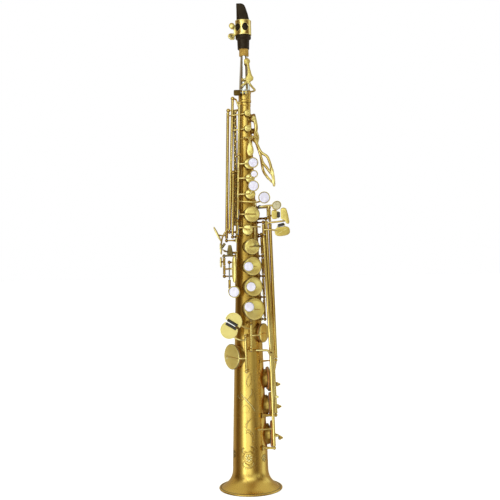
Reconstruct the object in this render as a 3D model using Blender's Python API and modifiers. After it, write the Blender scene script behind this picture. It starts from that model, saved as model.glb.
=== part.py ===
"""Straight soprano saxophone standing on its bell, built as separate soldered pieces.

All shaping numbers are millimetres in the instrument's own frame: the bore is the
vertical line x = 0, y = 0, the bell stands on z = 0, the stack keys face -Y.
"""
import math
from collections import namedtuple

import bmesh
import bpy
from mathutils import Matrix, Vector

MM = 0.001
AXIS_X = -6.0          # bore line in the shared frame, so the outline is centred
GAP = 0.35             # clearance between neighbouring pieces

# Body cone and bell
BODY_TOP_Z = 553.0
BODY_FOOT_Z = 36.0
TOP_RADIUS = 7.9
CONE_SLOPE = 0.0382
CONE_EASE = 0.9e-5
WALL = 1.0
BELL_RADIUS = 44.6
FLARE_POWER = 3.6
RIM_RADIUS = 1.4

# Neck and mouthpiece
RECEIVER_FOOT_Z = 554.0
RECEIVER_TOP_Z = 569.0
NECK_TOP_Z = 640.0
CORK_FOOT_Z = 620.2
SHANK_FOOT_Z = 630.0
TIP_Z = 695.0
BARREL_R = 10.2
BARREL_X = -0.6
LIGATURE_SCREW_X = (-16.6, -18.2)
LIGATURE_SCREW_Z = (662.5, 647.6)
LIGATURE_LUGS = ((-15.0, 662.5, 5.0), (-16.6, 648.9, 8.0))  # x, height, length
CLAMP_Y = -11.8
CLAMP_Z = 566.0

# Keywork stock
TUBE_R = 1.7           # hinge tube
LONG_TUBE_R = 2.1      # hinge tube of the keys that run the length of a joint
ARM_R = 1.05           # soldered arms
ARM_RISE = 3.4         # where a stack arm enters the thickness of its cup
POST_R = 1.25
BALL_R = 2.4
PAD_LIFT = 0.35        # closed pad above its chimney
CHIMNEY_RISE = 3.0
CHIMNEY_SHARE = 0.8    # chimney radius as a share of the cup radius

# Angles that the sprung keys stand open by, degrees
STACK_OPEN = 8.0
LOW_OPEN = 5.5

BRASS = (0.72, 0.47, 0.14)
KEY_BRASS = (0.80, 0.62, 0.24)
SILVER = (0.80, 0.78, 0.75)
EBONITE = (0.02, 0.017, 0.014)
CORK = (0.60, 0.36, 0.13)
PEARL = (0.86, 0.83, 0.90)

ACROSS = Vector((0, 1, 0))     # a side touch's width runs front to back

Rod = namedtuple("Rod", "top foot")
Hole = namedtuple("Hole", "angle z cup_radius")

# Hinge rods, top end and bottom end
UPPER = Rod(Vector((-7.6, -16.2, 551.0)), Vector((-13.3, -20.4, 362.0)))
SIDE_E = Rod(Vector((-24.3, 1.5, 543.0)), Vector((-29.3, 1.5, 356.0)))
SIDE_C = Rod(Vector((-17.2, -4.5, 559.0)), Vector((-24.6, -6.0, 368.0)))
SIDE_B = Rod(Vector((-18.0, -10.5, 453.0)), Vector((-20.2, -12.5, 361.0)))
LOWER = Rod(Vector((20.8, -7.4, 364.0)), Vector((24.0, -8.4, 243.0)))
E_FLAT = Rod(Vector((4.1, -28.0, 240.0)), Vector((3.6, -29.0, 202.0)))
LOW_C = Rod(Vector((-4.1, -28.5, 221.0)), Vector((-3.5, -30.0, 172.0)))
LOW_BB = Rod(Vector((31.0, -19.6, 199.0)), Vector((34.2, -18.6, 61.4)))
LOW_B = Rod(Vector((27.3, -15.0, 386.0)), Vector((37.2, -14.0, 107.0)))
LOW_CS = Rod(Vector((32.6, -9.0, 402.0)), Vector((38.7, -6.0, 184.0)))
TABLE_GS = Rod(Vector((30.2, -20.5, 403.0)), Vector((30.4, -20.5, 387.0)))
TABLE_BB = Rod(Vector((23.4, -19.0, 381.0)), Vector((23.8, -19.0, 361.0)))
SHORT_F = Rod(Vector((-33.0, -6.0, 334.0)), Vector((-33.0, -7.0, 305.0)))
SHORT_T = Rod(Vector((-25.5, -17.0, 325.0)), Vector((-25.5, -17.5, 285.0)))
THUMB = Rod(Vector((-8.2, 14.0, 551.0)), Vector((-10.6, 18.4, 431.0)))

# Short hinges that lie across the body: angle and height
PALM_HINGES = {"palm_d": (55, 503.0), "palm_eb": (88, 494.0), "palm_f": (121, 503.0)}
FRONT_F_ANGLE = 13

# Tone holes: angle round the body (0 = front, + = right), height, cup radius
HOLES = {
    "side_e": Hole(15, 537.0, 4.6),
    "side_c": Hole(15, 515.0, 4.9),
    "palm_d": Hole(58, 529.0, 4.6),
    "palm_eb": Hole(84, 512.5, 4.8),
    "palm_f": Hole(110, 534.0, 4.4),
    "stack_b": Hole(18, 464.0, 7.6),
    "stack_c": Hole(19, 443.6, 6.6),
    "stack_a": Hole(18, 421.0, 7.3),
    "stack_g": Hole(23, 392.5, 11.3),
    "side_bb": Hole(-118, 445.0, 5.6),
    "g_sharp": Hole(4, 370.5, 7.6),
    "stack_fs": Hole(14, 346.6, 11.4),
    "stack_f": Hole(15, 319.0, 13.4),
    "stack_e": Hole(16, 290.0, 13.7),
    "stack_d": Hole(17, 258.6, 15.6),
    "e_flat": Hole(58, 224.0, 13.6),
    "low_c": Hole(-58, 191.0, 18.0),
    "low_cs": Hole(98, 157.0, 16.6),
    "low_b": Hole(98, 119.0, 17.6),
    "low_bb": Hole(98, 77.0, 18.6),
}


# ---------------------------------------------------------------- the body's geometry
def body_radius(z):
    """Outer radius of the conical body at height z."""
    drop = BODY_TOP_Z - z
    return TOP_RADIUS + CONE_SLOPE * drop - CONE_EASE * drop * drop


def flare_radius(z):
    """Outer radius of the bell flare below the cone."""
    base = body_radius(BODY_FOOT_Z)
    return base + (BELL_RADIUS - base) * (1 - z / BODY_FOOT_Z) ** FLARE_POWER


def outward(angle):
    turn = math.radians(angle)
    return Vector((math.sin(turn), -math.cos(turn), 0.0))


def surface(angle, z, lift=0.0):
    """Point at a height above the body's outer surface."""
    point = outward(angle) * (body_radius(z) + lift)
    point.z = z
    return point


def rod_point(rod, z):
    share = (rod.top.z - z) / (rod.top.z - rod.foot.z)
    return rod.top.lerp(rod.foot, share)


def rod_axis(rod):
    return (rod.top - rod.foot).normalized()


# ---------------------------------------------------------------- scene helpers
def clear_scene():
    for item in list(bpy.data.objects):
        bpy.data.objects.remove(item, do_unlink=True)


def new_collection(name):
    group = bpy.data.collections.new(name)
    bpy.context.scene.collection.children.link(group)
    return group


def material(name, colour, roughness, metallic):
    mat = bpy.data.materials.new(name)
    mat.use_nodes = True
    shader = mat.node_tree.nodes["Principled BSDF"]
    shader.inputs["Base Color"].default_value = (*colour, 1.0)
    shader.inputs["Roughness"].default_value = roughness
    shader.inputs["Metallic"].default_value = metallic
    return mat


clear_scene()
PARTS = new_collection("soprano_saxophone")
CUTTERS = new_collection("cutters")
BENCH = bpy.data.scenes.new("bench")    # where single pieces are turned into meshes
ROOT = Matrix.Translation((AXIS_X * MM, 0.0, 0.0))


def frame_on(origin, normal, side=Vector((1, 0, 0))):
    """Matrix in metres whose local Z is the normal, standing at a point in mm."""
    z = normal.normalized()
    x = side - z * side.dot(z)
    if x.length < 1e-3:
        x = Vector((0, 1, 0)) - z * z.y
    x.normalize()
    y = z.cross(x)
    turn = Matrix((x, y, z)).transposed().to_4x4()
    return ROOT @ Matrix.Translation(origin * MM) @ turn


def add_object(name, mesh, matrix, group=None):
    item = bpy.data.objects.new(name, mesh)
    (group or CUTTERS).objects.link(item)
    item.matrix_world = matrix
    return item


def from_bmesh(name, shape, matrix):
    mesh = bpy.data.meshes.new(name)
    shape.to_mesh(mesh)
    shape.free()
    return add_object(name, mesh, matrix)


# ---------------------------------------------------------------- solid stock
def cylinder(start, end, radius, end_radius=None, sides=12, name="rod"):
    """Solid round bar or cone between two points."""
    shape = bmesh.new()
    length = (end - start).length * MM
    last = radius if end_radius is None else end_radius
    bmesh.ops.create_cone(shape, cap_ends=True, segments=sides,
                          radius1=radius * MM, radius2=last * MM, depth=length)
    return from_bmesh(name, shape, frame_on((start + end) / 2, end - start))


def ball(centre, radius=BALL_R, name="ball"):
    shape = bmesh.new()
    bmesh.ops.create_uvsphere(shape, u_segments=7, v_segments=5, radius=radius * MM)
    return from_bmesh(name, shape, frame_on(centre, Vector((0, 0, 1))))


def block(centre, size, normal=Vector((0, 0, 1)), side=Vector((1, 0, 0)), name="block"):
    shape = bmesh.new()
    bmesh.ops.create_cube(shape, size=1.0)
    bmesh.ops.scale(shape, vec=Vector(size) * MM, verts=shape.verts)
    return from_bmesh(name, shape, frame_on(centre, normal, side))


def turned(profile, origin=Vector((0, 0, 0)), normal=Vector((0, 0, 1)), steps=20, name="turned",
           closed=False):
    """Solid of revolution; the profile runs down its outer side."""
    mesh = bpy.data.meshes.new(name)
    points = [(r * MM, 0.0, z * MM) for r, z in profile]
    edges = [(i, i + 1) for i in range(len(points) - 1)]
    if closed:
        edges.append((len(points) - 1, 0))
    mesh.from_pydata(points, edges, [])
    item = add_object(name, mesh, frame_on(origin, normal))
    screw = item.modifiers.new("Turn", "SCREW")
    screw.axis = "Z"
    screw.steps = steps
    screw.render_steps = steps
    screw.use_merge_vertices = True
    screw.merge_threshold = 0.00001
    screw.use_smooth_shade = True
    return item


def evaluated_mesh(item):
    """Mesh of one object as it evaluates alone on the bench."""
    BENCH.collection.objects.link(item)
    layer = BENCH.view_layers[0]
    layer.update()
    mesh = bpy.data.meshes.new_from_object(item.evaluated_get(layer.depsgraph))
    BENCH.collection.objects.unlink(item)
    return mesh


def curve_to_mesh(item, name):
    """Turn a bevelled or filled curve into a welded mesh solid."""
    mesh = evaluated_mesh(item)
    shape = bmesh.new()
    shape.from_mesh(mesh)
    bmesh.ops.remove_doubles(shape, verts=shape.verts, dist=0.000005)
    bmesh.ops.recalc_face_normals(shape, faces=shape.faces)
    shape.to_mesh(mesh)
    shape.free()
    solid = add_object(name, mesh, item.matrix_world.copy())
    bpy.data.objects.remove(item, do_unlink=True)
    return solid


def wire(points, radius=ARM_R, cyclic=False, name="arm"):
    """Bent round bar through the points."""
    curve = bpy.data.curves.new(name, "CURVE")
    curve.dimensions = "3D"
    curve.bevel_depth = radius * MM
    curve.bevel_resolution = 1
    curve.use_fill_caps = True
    spline = curve.splines.new("POLY")
    spline.points.add(len(points) - 1)
    for slot, point in zip(spline.points, points):
        slot.co = (*(Vector(point) * MM), 1.0)
    spline.use_cyclic_u = cyclic
    item = add_object(name, curve, ROOT.copy())
    return curve_to_mesh(item, name)


def bent(points, bends=2):
    """Smooth path through the points, for arms that are bent and not mitred."""
    points = [Vector(p) for p in points]
    path = [points[0]]
    for before, corner, after in zip(points, points[1:], points[2:]):
        start = before.lerp(corner, 0.7)
        end = corner.lerp(after, 0.3)
        for step in range(bends):
            t = step / (bends - 1)
            path.append(start.lerp(corner, t).lerp(corner.lerp(end, t), t))
    path.append(points[-1])
    return path


def plate(outline, thickness, origin, normal, side=Vector((1, 0, 0)), name="plate"):
    """Flat touch cut to an outline, centred on the origin."""
    curve = bpy.data.curves.new(name, "CURVE")
    curve.dimensions = "2D"
    curve.fill_mode = "BOTH"
    curve.extrude = thickness * MM / 2
    spline = curve.splines.new("POLY")
    spline.points.add(len(outline) - 1)
    for slot, (x, y) in zip(spline.points, outline):
        slot.co = (x * MM, y * MM, 0.0, 1.0)
    spline.use_cyclic_u = True
    item = add_object(name, curve, frame_on(origin, normal, side))
    return curve_to_mesh(item, name)


def oval(width, height, count=14, power=2.0, start=0.0, sweep=360.0):
    """Superellipse outline, whole or a part of it."""
    steps = count if sweep >= 360 else count + 1
    points = []
    for i in range(steps):
        turn = math.radians(start + sweep * i / count)
        c, s = math.cos(turn), math.sin(turn)
        points.append((width / 2 * math.copysign(abs(c) ** (2 / power), c),
                       height / 2 * math.copysign(abs(s) ** (2 / power), s)))
    return points


def leaf(width, length, count=16):
    """Teardrop outline with its point upward."""
    points = []
    for i in range(count):
        turn = 2 * math.pi * i / count
        taper = math.cos(turn / 2) ** 2 if i else 1.0
        points.append((width * 0.65 * math.sin(turn) * (1 - 0.55 * taper), length / 2 * math.cos(turn)))
    return points[::-1]


# ---------------------------------------------------------------- joining
def hide(item):
    item.hide_render = True
    item.display_type = "WIRE"


def boolean(target, tool, operation):
    step = target.modifiers.new(operation.title(), "BOOLEAN")
    step.operation = operation
    step.solver = "EXACT"
    step.object = tool
    hide(tool)


def finish(item, name, mat):
    """Name a piece, give it its metal and move it into the instrument."""
    CUTTERS.objects.unlink(item)
    PARTS.objects.link(item)
    item.name = name
    item.data.name = name
    item.data.materials.clear()
    item.data.materials.append(mat)
    if item.type == "MESH" and item.data.polygons:
        item.data.shade_smooth()
        item.data.set_sharp_from_angle(angle=math.radians(35))
    return item


def solder(name, base, pieces, mat, cuts=()):
    """Union pieces onto a base, then take the cuts out of it."""
    for piece in pieces:
        boolean(base, piece, "UNION")
    for cut in cuts:
        boolean(base, cut, "DIFFERENCE")
    return finish(base, name, mat)


def hinge_tube(rod, low, high):
    radius = LONG_TUBE_R if high - low > 80 and rod is not SIDE_C else TUBE_R
    return cylinder(rod_point(rod, low), rod_point(rod, high), radius, sides=9, name="tube")


def swing(items, point, axis, angle):
    """Turn finished solids about a rod."""
    pivot = Matrix.Translation(point * MM)
    spin = Matrix.Rotation(math.radians(angle), 4, axis)
    turn = ROOT @ pivot @ spin @ pivot.inverted() @ ROOT.inverted()
    for item in items:
        item.matrix_world = turn @ item.matrix_world


def key(name, rod, low, high, pieces, open_by=0.0, riders=()):
    """A key: hinge tube with arms, cup and touch, standing open by an angle."""
    base = hinge_tube(rod, low, high)
    swing(list(pieces) + list(riders), rod.foot, rod_axis(rod), open_by)
    return solder(name, base, pieces, KEY)


# ---------------------------------------------------------------- keywork stock
def cup_solid(hole, thickness=4.0, dome=0.9):
    """Key cup with its pad, closed on its chimney."""
    r = hole.cup_radius
    base = body_radius(hole.z) + CHIMNEY_RISE + PAD_LIFT
    centre = outward(hole.angle) * base
    centre.z = hole.z
    profile = [(0, thickness + dome), (0.7 * r, thickness + 0.4 * dome), (r, thickness - 1.2),
               (r, 0.0), (0, 0.0)]
    steps = 18 if r > 10 else 12
    return turned(profile, centre, outward(hole.angle), steps, "cup")


def cup_top(hole, rise=3.0, across=0.0, up=0.0):
    """Point in the thickness of a closed cup, for an arm to end in."""
    base = body_radius(hole.z) + CHIMNEY_RISE + PAD_LIFT + rise
    turn = math.radians(hole.angle)
    side = Vector((math.cos(turn), math.sin(turn), 0.0))
    point = outward(hole.angle) * base + side * across
    point.z = hole.z + up
    return point


def pearl_pair(name, centre, normal, radius, stretch=1.0, turn=0.0):
    """Holder for a pearl and the pearl that sits in it."""
    r = radius
    dish = [(0, 0.0), (r + GAP, 0.0), (r + GAP, 0.9), (r + 0.9, 0.7), (r + 0.9, -0.9), (0, -1.4)]
    stone = [(0, 2.1), (0.7 * r, 1.7), (r, 0.8), (r, GAP), (0, GAP)]
    holder = turned(dish, centre, normal, 12, "holder")
    pearl = turned(stone, centre, normal, 12, name)
    if stretch != 1.0:
        squeeze(holder, stretch, turn)
        squeeze(pearl, stretch, turn)
    return holder, pearl


def squeeze(item, stretch, turn):
    """Make a turned solid oval, in its own mesh."""
    mesh = evaluated_mesh(item)
    spin = Matrix.Rotation(math.radians(turn), 4, "Z")
    mesh.transform(spin @ Matrix.Diagonal((1.0, stretch, 1.0, 1.0)))
    item.modifiers.clear()
    item.data = mesh


def stalk(angle, z, head, radius=POST_R, sides=6):
    """Bar from a rib to a point, with its foot kept clear of the body."""
    lean = (head - surface(angle, z)).normalized()
    normal = outward(angle)
    sink = radius * (lean - normal * lean.dot(normal)).length
    return cylinder(surface(angle, z, GAP + 0.3 + sink), head, radius, sides=sides, name="post")


def post(rib_angle, rod, z, radius=POST_R, ball_radius=BALL_R):
    """Post from a rib to a ball head on the rod."""
    head = rod_point(rod, z)
    return [stalk(rib_angle, z, head, radius), ball(head, ball_radius)]


def strip(angle, low, high, width=4.6, thickness=1.2):
    """Rib that lies along the body."""
    a = surface(angle, low, GAP + thickness / 2)
    b = surface(angle, high, GAP + thickness / 2)
    turn = math.radians(angle)
    side = Vector((math.cos(turn), math.sin(turn), 0.0))
    return block((a + b) / 2, (width, thickness, (b - a).length), b - a, side, "strip")


def rib(name, angle, low, high, pieces, width=4.6):
    return solder(name, strip(angle, low, high, width), pieces, POSTS)


KEY = material("polished_key_brass", KEY_BRASS, 0.18, 1.0)
POSTS = material("post_brass", (0.76, 0.53, 0.18), 0.28, 1.0)
SATIN = material("satin_brass", BRASS, 0.38, 1.0)
SILVERED = material("silver", SILVER, 0.15, 1.0)
BLACK = material("ebonite", EBONITE, 0.25, 0.0)
CORKED = material("cork", CORK, 0.85, 0.0)
NACRE = material("mother_of_pearl", PEARL, 0.2, 0.0)


# ---------------------------------------------------------------- body and bell
def chimney(hole, inner=False):
    radius = CHIMNEY_SHARE * hole.cup_radius - (0.9 if inner else 0.0)
    reach = body_radius(hole.z) + CHIMNEY_RISE + (2.0 if inner else 0.0)
    start = outward(hole.angle) * (0.7 * body_radius(hole.z))
    end = outward(hole.angle) * reach
    start.z = end.z = hole.z
    sides = 16 if hole.cup_radius > 10 else 10
    return cylinder(start, end, radius, sides=sides, name="chimney")


def build_body():
    stations = [BODY_TOP_Z - i * (BODY_TOP_Z - BODY_FOOT_Z - GAP) / 3 for i in range(4)]
    outer = [(0, stations[0])] + [(body_radius(z), z) for z in stations] + [(0, stations[-1])]
    body = turned(outer, steps=30, name="cone")
    for hole in HOLES.values():
        boolean(body, chimney(hole), "UNION")
    ends = [stations[0] + 5.0] + stations[1:-1] + [stations[-1] - 5.0]
    bore = [(0, ends[0])] + [(body_radius(z) - WALL, z) for z in ends] + [(0, ends[-1])]
    for hole in HOLES.values():
        boolean(body, chimney(hole, inner=True), "DIFFERENCE")
    boolean(body, turned(bore, steps=30, name="bore"), "DIFFERENCE")
    return finish(body, "body_tube", SATIN)


def build_bell():
    heights = [BODY_FOOT_Z * (1 - i / 7) ** 1.5 + RIM_RADIUS for i in range(8)]
    outer = [(flare_radius(max(z - RIM_RADIUS, 0)), z) for z in heights]
    inner = [(r - WALL, z) for r, z in outer]
    rim_r, rim_z = BELL_RADIUS - 0.6, RIM_RADIUS
    turn_over = [(rim_r + RIM_RADIUS * math.sin(t), rim_z + RIM_RADIUS * math.cos(t))
                 for t in (math.radians(a) for a in (60, 100, 140))]
    foot = [(rim_r + 0.7, 0.0), (rim_r - 1.3, 0.0), (rim_r - 1.5, 0.7)]
    outer[0] = (outer[0][0], BODY_FOOT_Z)
    inner[0] = (inner[0][0], BODY_FOOT_Z)
    profile = outer[:-1] + turn_over + foot + inner[:-1][::-1]
    return finish(turned(profile, steps=36, name="bell", closed=True), "bell_flare", SATIN)


# ---------------------------------------------------------------- neck and mouthpiece
def build_receiver():
    ring = turned([(9.1, RECEIVER_TOP_Z), (9.1, RECEIVER_TOP_Z - 2), (8.8, RECEIVER_FOOT_Z + 3),
                   (9.3, RECEIVER_FOOT_Z + 1), (9.3, RECEIVER_FOOT_Z - 0.0), (6.9, RECEIVER_FOOT_Z),
                   (6.9, 560.0), (8.3, 560.4), (8.3, RECEIVER_TOP_Z)], steps=24, closed=True)
    lugs = [block(Vector((x, -10.8, CLAMP_Z)), (2.2, 5.8, 6.0)) for x in (-2.3, 2.3)]
    slot = block(Vector((0, -9.0, 567.0)), (1.6, 12.0, 12.0))
    screw_way = cylinder(Vector((-6, CLAMP_Y, CLAMP_Z)), Vector((6, CLAMP_Y, CLAMP_Z)), 1.4, sides=10)
    return solder("neck_receiver", ring, lugs, SATIN, [slot, screw_way])


def build_clamp_screw():
    start = Vector((4.6, CLAMP_Y, CLAMP_Z))
    shaft = cylinder(Vector((-8, CLAMP_Y, CLAMP_Z)), start, 1.05, sides=10, name="shaft")
    head = cylinder(Vector((-15.4, CLAMP_Y, CLAMP_Z)), Vector((-5.8, CLAMP_Y, CLAMP_Z)), 4.1, sides=16)
    return solder("neck_clamp_screw", shaft, [head], KEY)


def build_neck():
    outer = [(5.1, NECK_TOP_Z), (5.2, CORK_FOOT_Z), (7.9, 570.0), (7.9, 562.0)]
    inner = [(r - 0.8, z) for r, z in outer]
    tube = turned(outer + inner[::-1], steps=22, closed=True)
    posts = [cylinder(Vector((x, -7.0, 585.0)), Vector((x, -12.0, 585.0)), 1.2, sides=8)
             for x in (-2.6, 8.6)]
    bridge = block(Vector((3.0, -7.2, 585.0)), (12.6, 1.8, 4.0))
    pip = cylinder(Vector((2.4, -2.5, 611.0)), Vector((3.4, -8.2, 611.0)), 1.8, sides=10)
    bore = cylinder(Vector((0, 0, 560)), Vector((0, 0, 645)), 7.0, 4.2, sides=22, name="neck_bore")
    return solder("neck_tube", tube, [bridge, *posts, pip], SILVERED, [bore])


def build_cork():
    profile = [(6.6, 640.0), (6.9, CORK_FOOT_Z), (5.2 + GAP, CORK_FOOT_Z), (5.1 + GAP, 640.0)]
    return finish(turned(profile, steps=24, closed=True), "neck_cork", CORKED)


def half_space(point, normal, size=60.0):
    """Block that fills the far side of a plane, for flat cuts."""
    normal = Vector(normal).normalized()
    return block(Vector(point) + normal * size / 2, (size, size, size), normal, name="cut")


def build_mouthpiece():
    profile = [(0, TIP_Z + 2), (BARREL_R, TIP_Z + 2), (BARREL_R, 649.4), (11.1, 648.6), (11.1, 645.2),
               (8.9, 643.6), (8.5, 629.0), (8.2, SHANK_FOOT_Z), (0, SHANK_FOOT_Z)]
    base = turned(profile, Vector((BARREL_X, 0, 0)), steps=24)
    beak = [half_space((9.4, 0, 668.0), (1.0, 0, 0.22)), half_space((5.9, 0, 683.0), (1.0, 0, 0.46))]
    table = half_space((-10.0, 0, 670.0), (-1.0, 0, 0.0))
    tip = half_space((-4.0, 0, TIP_Z), (0.1, 0, 1.0))
    sides = [half_space((0, y, 672.0), (0, y, 3.2)) for y in (-10.6, 10.6)]
    bore = turned([(0, 652.0), (7.0, 646.0), (7.3, 620.0), (0, 620.0)], steps=24, name="bore")
    throat = cylinder(Vector((-1.2, 0, 640.0)), Vector((-3.6, 0, 676.0)), 4.2, sides=14, name="throat")
    window = block(Vector((-8.0, 0, 679.0)), (8.0, 9.0, 23.0), name="window")
    return solder("mouthpiece", base, [], BLACK, [*beak, table, tip, *sides, bore, throat, window])


def build_ligature():
    band = turned([(BARREL_R + 1.2, 671.0), (BARREL_R + 1.5, 649.8), (BARREL_R + 0.5, 649.8),
                   (BARREL_R + GAP, 671.0)], Vector((BARREL_X, 0, 0)), steps=22, closed=True)
    lugs = [block(Vector((x, y, z)), (7.6, 2.0, tall)) for y in (-3.0, 3.0) for x, z, tall in LIGATURE_LUGS]
    plates = [block(Vector((-13.0, y, 657.2)), (2.6, 1.8, 14.6)) for y in (-3.0, 3.0)]
    slot = block(Vector((-14.0, 0, 660.0)), (8.0, 3.6, 40.0))
    ways = [cylinder(Vector((x, -6, z)), Vector((x, 6, z)), 1.3, sides=10)
            for x, z in zip(LIGATURE_SCREW_X, LIGATURE_SCREW_Z)]
    centre = Vector((BARREL_X, 0, 661))
    windows = [cylinder(centre + outward(a) * 8, centre + outward(a) * 16, 4.7, sides=9)
               for a in (-44, 16, 164, 224)]
    return solder("ligature", band, plates + lugs, KEY, [slot, *ways, *windows])


def build_ligature_screw(name, x, z):
    shaft = cylinder(Vector((x, 5.6, z)), Vector((x, -7.0, z)), 0.9, sides=10, name="shaft")
    head = cylinder(Vector((x, -6.6, z)), Vector((x, -9.4, z)), 4.3, sides=16, name="head")
    return solder(name, shaft, [head], KEY)


def build_neck_key():
    axis_a, axis_b = Vector((-1.0, -12.0, 585.0)), Vector((7.0, -12.0, 585.0))
    tube = cylinder(axis_a, axis_b, 1.6, sides=10, name="tube")
    cup = turned([(0, 3.2), (3.0, 3.0), (4.6, 2.0), (4.6, 0.0), (0, 0.0)], Vector((3.8, -8.6, 611.0)),
                 Vector((0.17, -1, 0)), 14)
    stem = wire(bent([(4.0, -10.8, 611), (6.5, -13.5, 599), (7.0, -14.4, 589), (5.5, -13.0, 585)]), 1.4)
    spread = plate(leaf(9.0, 17.0), 1.6, Vector((7.4, -14.2, 590.0)), Vector((0.1, -1, 0.1)))
    right = wire(bent([(5.0, -12.6, 584), (9.0, -12.5, 576), (14.2, -7.0, 571), (15.2, 0, 571),
                       (12.0, 8.5, 571), (3.0, 12.5, 571)]), 1.2)
    left = wire(bent([(5.0, -12.6, 584), (-1.0, -13.2, 578), (-7.5, -10.5, 575),
                      (-10.5, -5.0, 573.5)]), 1.2)
    return solder("neck_octave_key", tube, [cup, stem, spread, right, left], KEY)


# ---------------------------------------------------------------- ribs and posts
def build_ribs():
    left = post(-85, SIDE_E, 543) + post(-85, SIDE_E, 356) + post(-85, SIDE_C, 368)
    left += post(-85, SIDE_B, 453) + post(-85, SIDE_B, 361)
    left += [wire(bent([surface(-85, 549, 1.8), (-12.4, -2.4, 558.4), SIDE_C.top]), POST_R)]
    left += [ball(SIDE_C.top)]
    rib("left_rib", -85, 353.0, 552.0, left)
    front = post(-38, UPPER, 551) + post(-38, UPPER, 478) + post(-38, UPPER, 384) + post(-38, UPPER, 362)
    front += [wire([surface(a, 501, 1.25) for a in range(-38, 36, 12)], 0.85)]
    front += [cylinder(UPPER.top, rod_point(UPPER, 478), 1.5, sides=9, name="sleeve")]
    front += [stalk(angle, 501, end, 1.05) for angle, end in zip((-4, 28), front_f_ends(6.2))]
    rib("front_rib", -38, 359.0, 552.5, front)
    right = []
    for z in (364, 333, 304.5, 274.5, 243):
        right += post(80, LOWER, z)
    right += post(80, LOW_B, 386) + post(80, LOW_CS, 402)
    right += post(80, TABLE_GS, 403) + post(80, TABLE_GS, 387)
    right += post(80, TABLE_BB, 381) + post(80, TABLE_BB, 361)
    rib("right_rib", 80, 240.0, 414.0, right)
    lower = post(45, LOW_BB, 199) + post(45, LOW_CS, 184)
    lower += post(45, LOW_B, 107, 1.9) + post(45, LOW_BB, 61.4, 1.9)
    lower += [strip(-4, 169.0, 243.0, 4.0)]
    lower += [wire([surface(a, 200, 1.15) for a in range(-4, 50, 7)], 0.75)]
    lower += post(-4, E_FLAT, 240) + post(-4, E_FLAT, 202) + post(-4, LOW_C, 221) + post(-4, LOW_C, 172)
    rib("lower_rib", 45, 53.0, 203.0, lower)
    bracket = post(-72, SHORT_F, 334) + post(-72, SHORT_F, 305)
    bracket += post(-72, SHORT_T, 325) + post(-72, SHORT_T, 285)
    guard = stalk(-72, 338, Vector((-33.0, -9.4, 341.0)), 1.3)
    guard_plate = block(Vector((-31.5, -9.0, 341.5)), (9.0, 1.6, 6.0), Vector((0.4, 0, 1)))
    rib("lower_left_rib", -72, 282.0, 341.0, bracket + [guard, guard_plate])


def cross_ends(angle, z, lift, half):
    """Ends of a short hinge line that lies across the body."""
    turn = math.radians(angle)
    side = Vector((math.cos(turn), math.sin(turn), 0.0))
    centre = surface(angle, z, lift)
    return centre - side * half, centre + side * half


def front_f_ends(half):
    return cross_ends(FRONT_F_ANGLE, 501.0, 7.8, half)


def build_palm_posts():
    base = wire([surface(a, 500, 1.25) for a in range(42, 136, 13)], 0.9, name="palm_base")
    pieces = []
    for name, (angle, z) in PALM_HINGES.items():
        for sign, end in zip((-1, 1), palm_ends(name, 4.6)):
            foot_angle = angle + sign * 12
            pieces += [stalk(foot_angle, 500, end, 1.0), ball(end, 1.9)]
    return solder("palm_posts", base, pieces, POSTS)


def palm_ends(name, half):
    angle, z = PALM_HINGES[name]
    return cross_ends(angle, z, 6.0, half)


# ---------------------------------------------------------------- upper keys
def palm_key(name, path, touch_at, touch_normal, length):
    angle, z = PALM_HINGES[name]
    a, b = palm_ends(name, 2.4)
    hole = HOLES[name]
    lever = wire(bent([cup_top(hole, 2.5), surface(hole.angle, (hole.z + z) / 2, 9.0), (a + b) / 2,
                       *path, touch_at]), 1.35)
    touch = plate(oval(8.0, length, 12, 2.4), 1.7, Vector(touch_at), Vector(touch_normal), ACROSS)
    tube = cylinder(a, b, 1.6, sides=10, name="tube")
    return solder(name, tube, [cup_solid(hole, 3.2), lever, touch], KEY)


def build_palm_keys():
    palm_key("palm_d", [(18.6, -9.0, 488), (23, -7.5, 480), (31, -7, 476), (35.5, -7, 464)],
             (38.6, -7, 446), (1.0, 0, 0.12), 28)
    palm_key("palm_eb", [(21.0, 1.0, 480), (24.5, 2.5, 467), (29, 3.0, 462)],
             (36.0, 3.5, 452), (1.0, 0, 0.5), 17)
    palm_key("palm_f", [(21, 10.0, 486), (23.0, 13.0, 470), (25.5, 14, 455)],
             (33.0, 14.0, 445), (1.0, 0, 0.9), 18)


def build_front_f():
    start, end = front_f_ends(4.4)
    tube = cylinder(start, end, 1.5, sides=10, name="tube")
    lever = wire(bent([(start + end) / 2, (5.6, -21.4, 498), (6.9, -23.6, 490)]), 1.2)
    touch = plate(leaf(9.6, 20.0), 1.8, Vector((6.9, -24.2, 484.6)), Vector((0.1, -1, 0.06)))
    return solder("front_f_lever", tube, [lever, touch], KEY)


def stack_key(name, rod, low, high, open_by, arm_from, pearl=None, across=0.0, bow=2.6):
    """Open-standing key of the stacks: cup, arm and, on most, a pearl."""
    hole = HOLES[name]
    start = rod_point(rod, arm_from)
    end = cup_top(hole, ARM_RISE, across)
    middle = start.lerp(end, 0.45) + outward(hole.angle) * bow
    pieces = [cup_solid(hole), wire(bent([start, middle, end]))]
    riders = []
    if pearl:
        centre, facing, radius = Vector(pearl[0]), Vector(pearl[1]), pearl[2]
        holder, stone = pearl_pair("pearl_" + name, centre, facing, radius)
        stem = wire([cup_top(hole, ARM_RISE + 0.6, across), centre + Vector((0, 1.0, 0))])
        pieces += [holder, stem]
        riders = [stone]
    made = key(name, rod, low, high, pieces, open_by, riders)
    for stone in riders:
        finish(stone, "pearl_" + name, NACRE)
    return made


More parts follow.
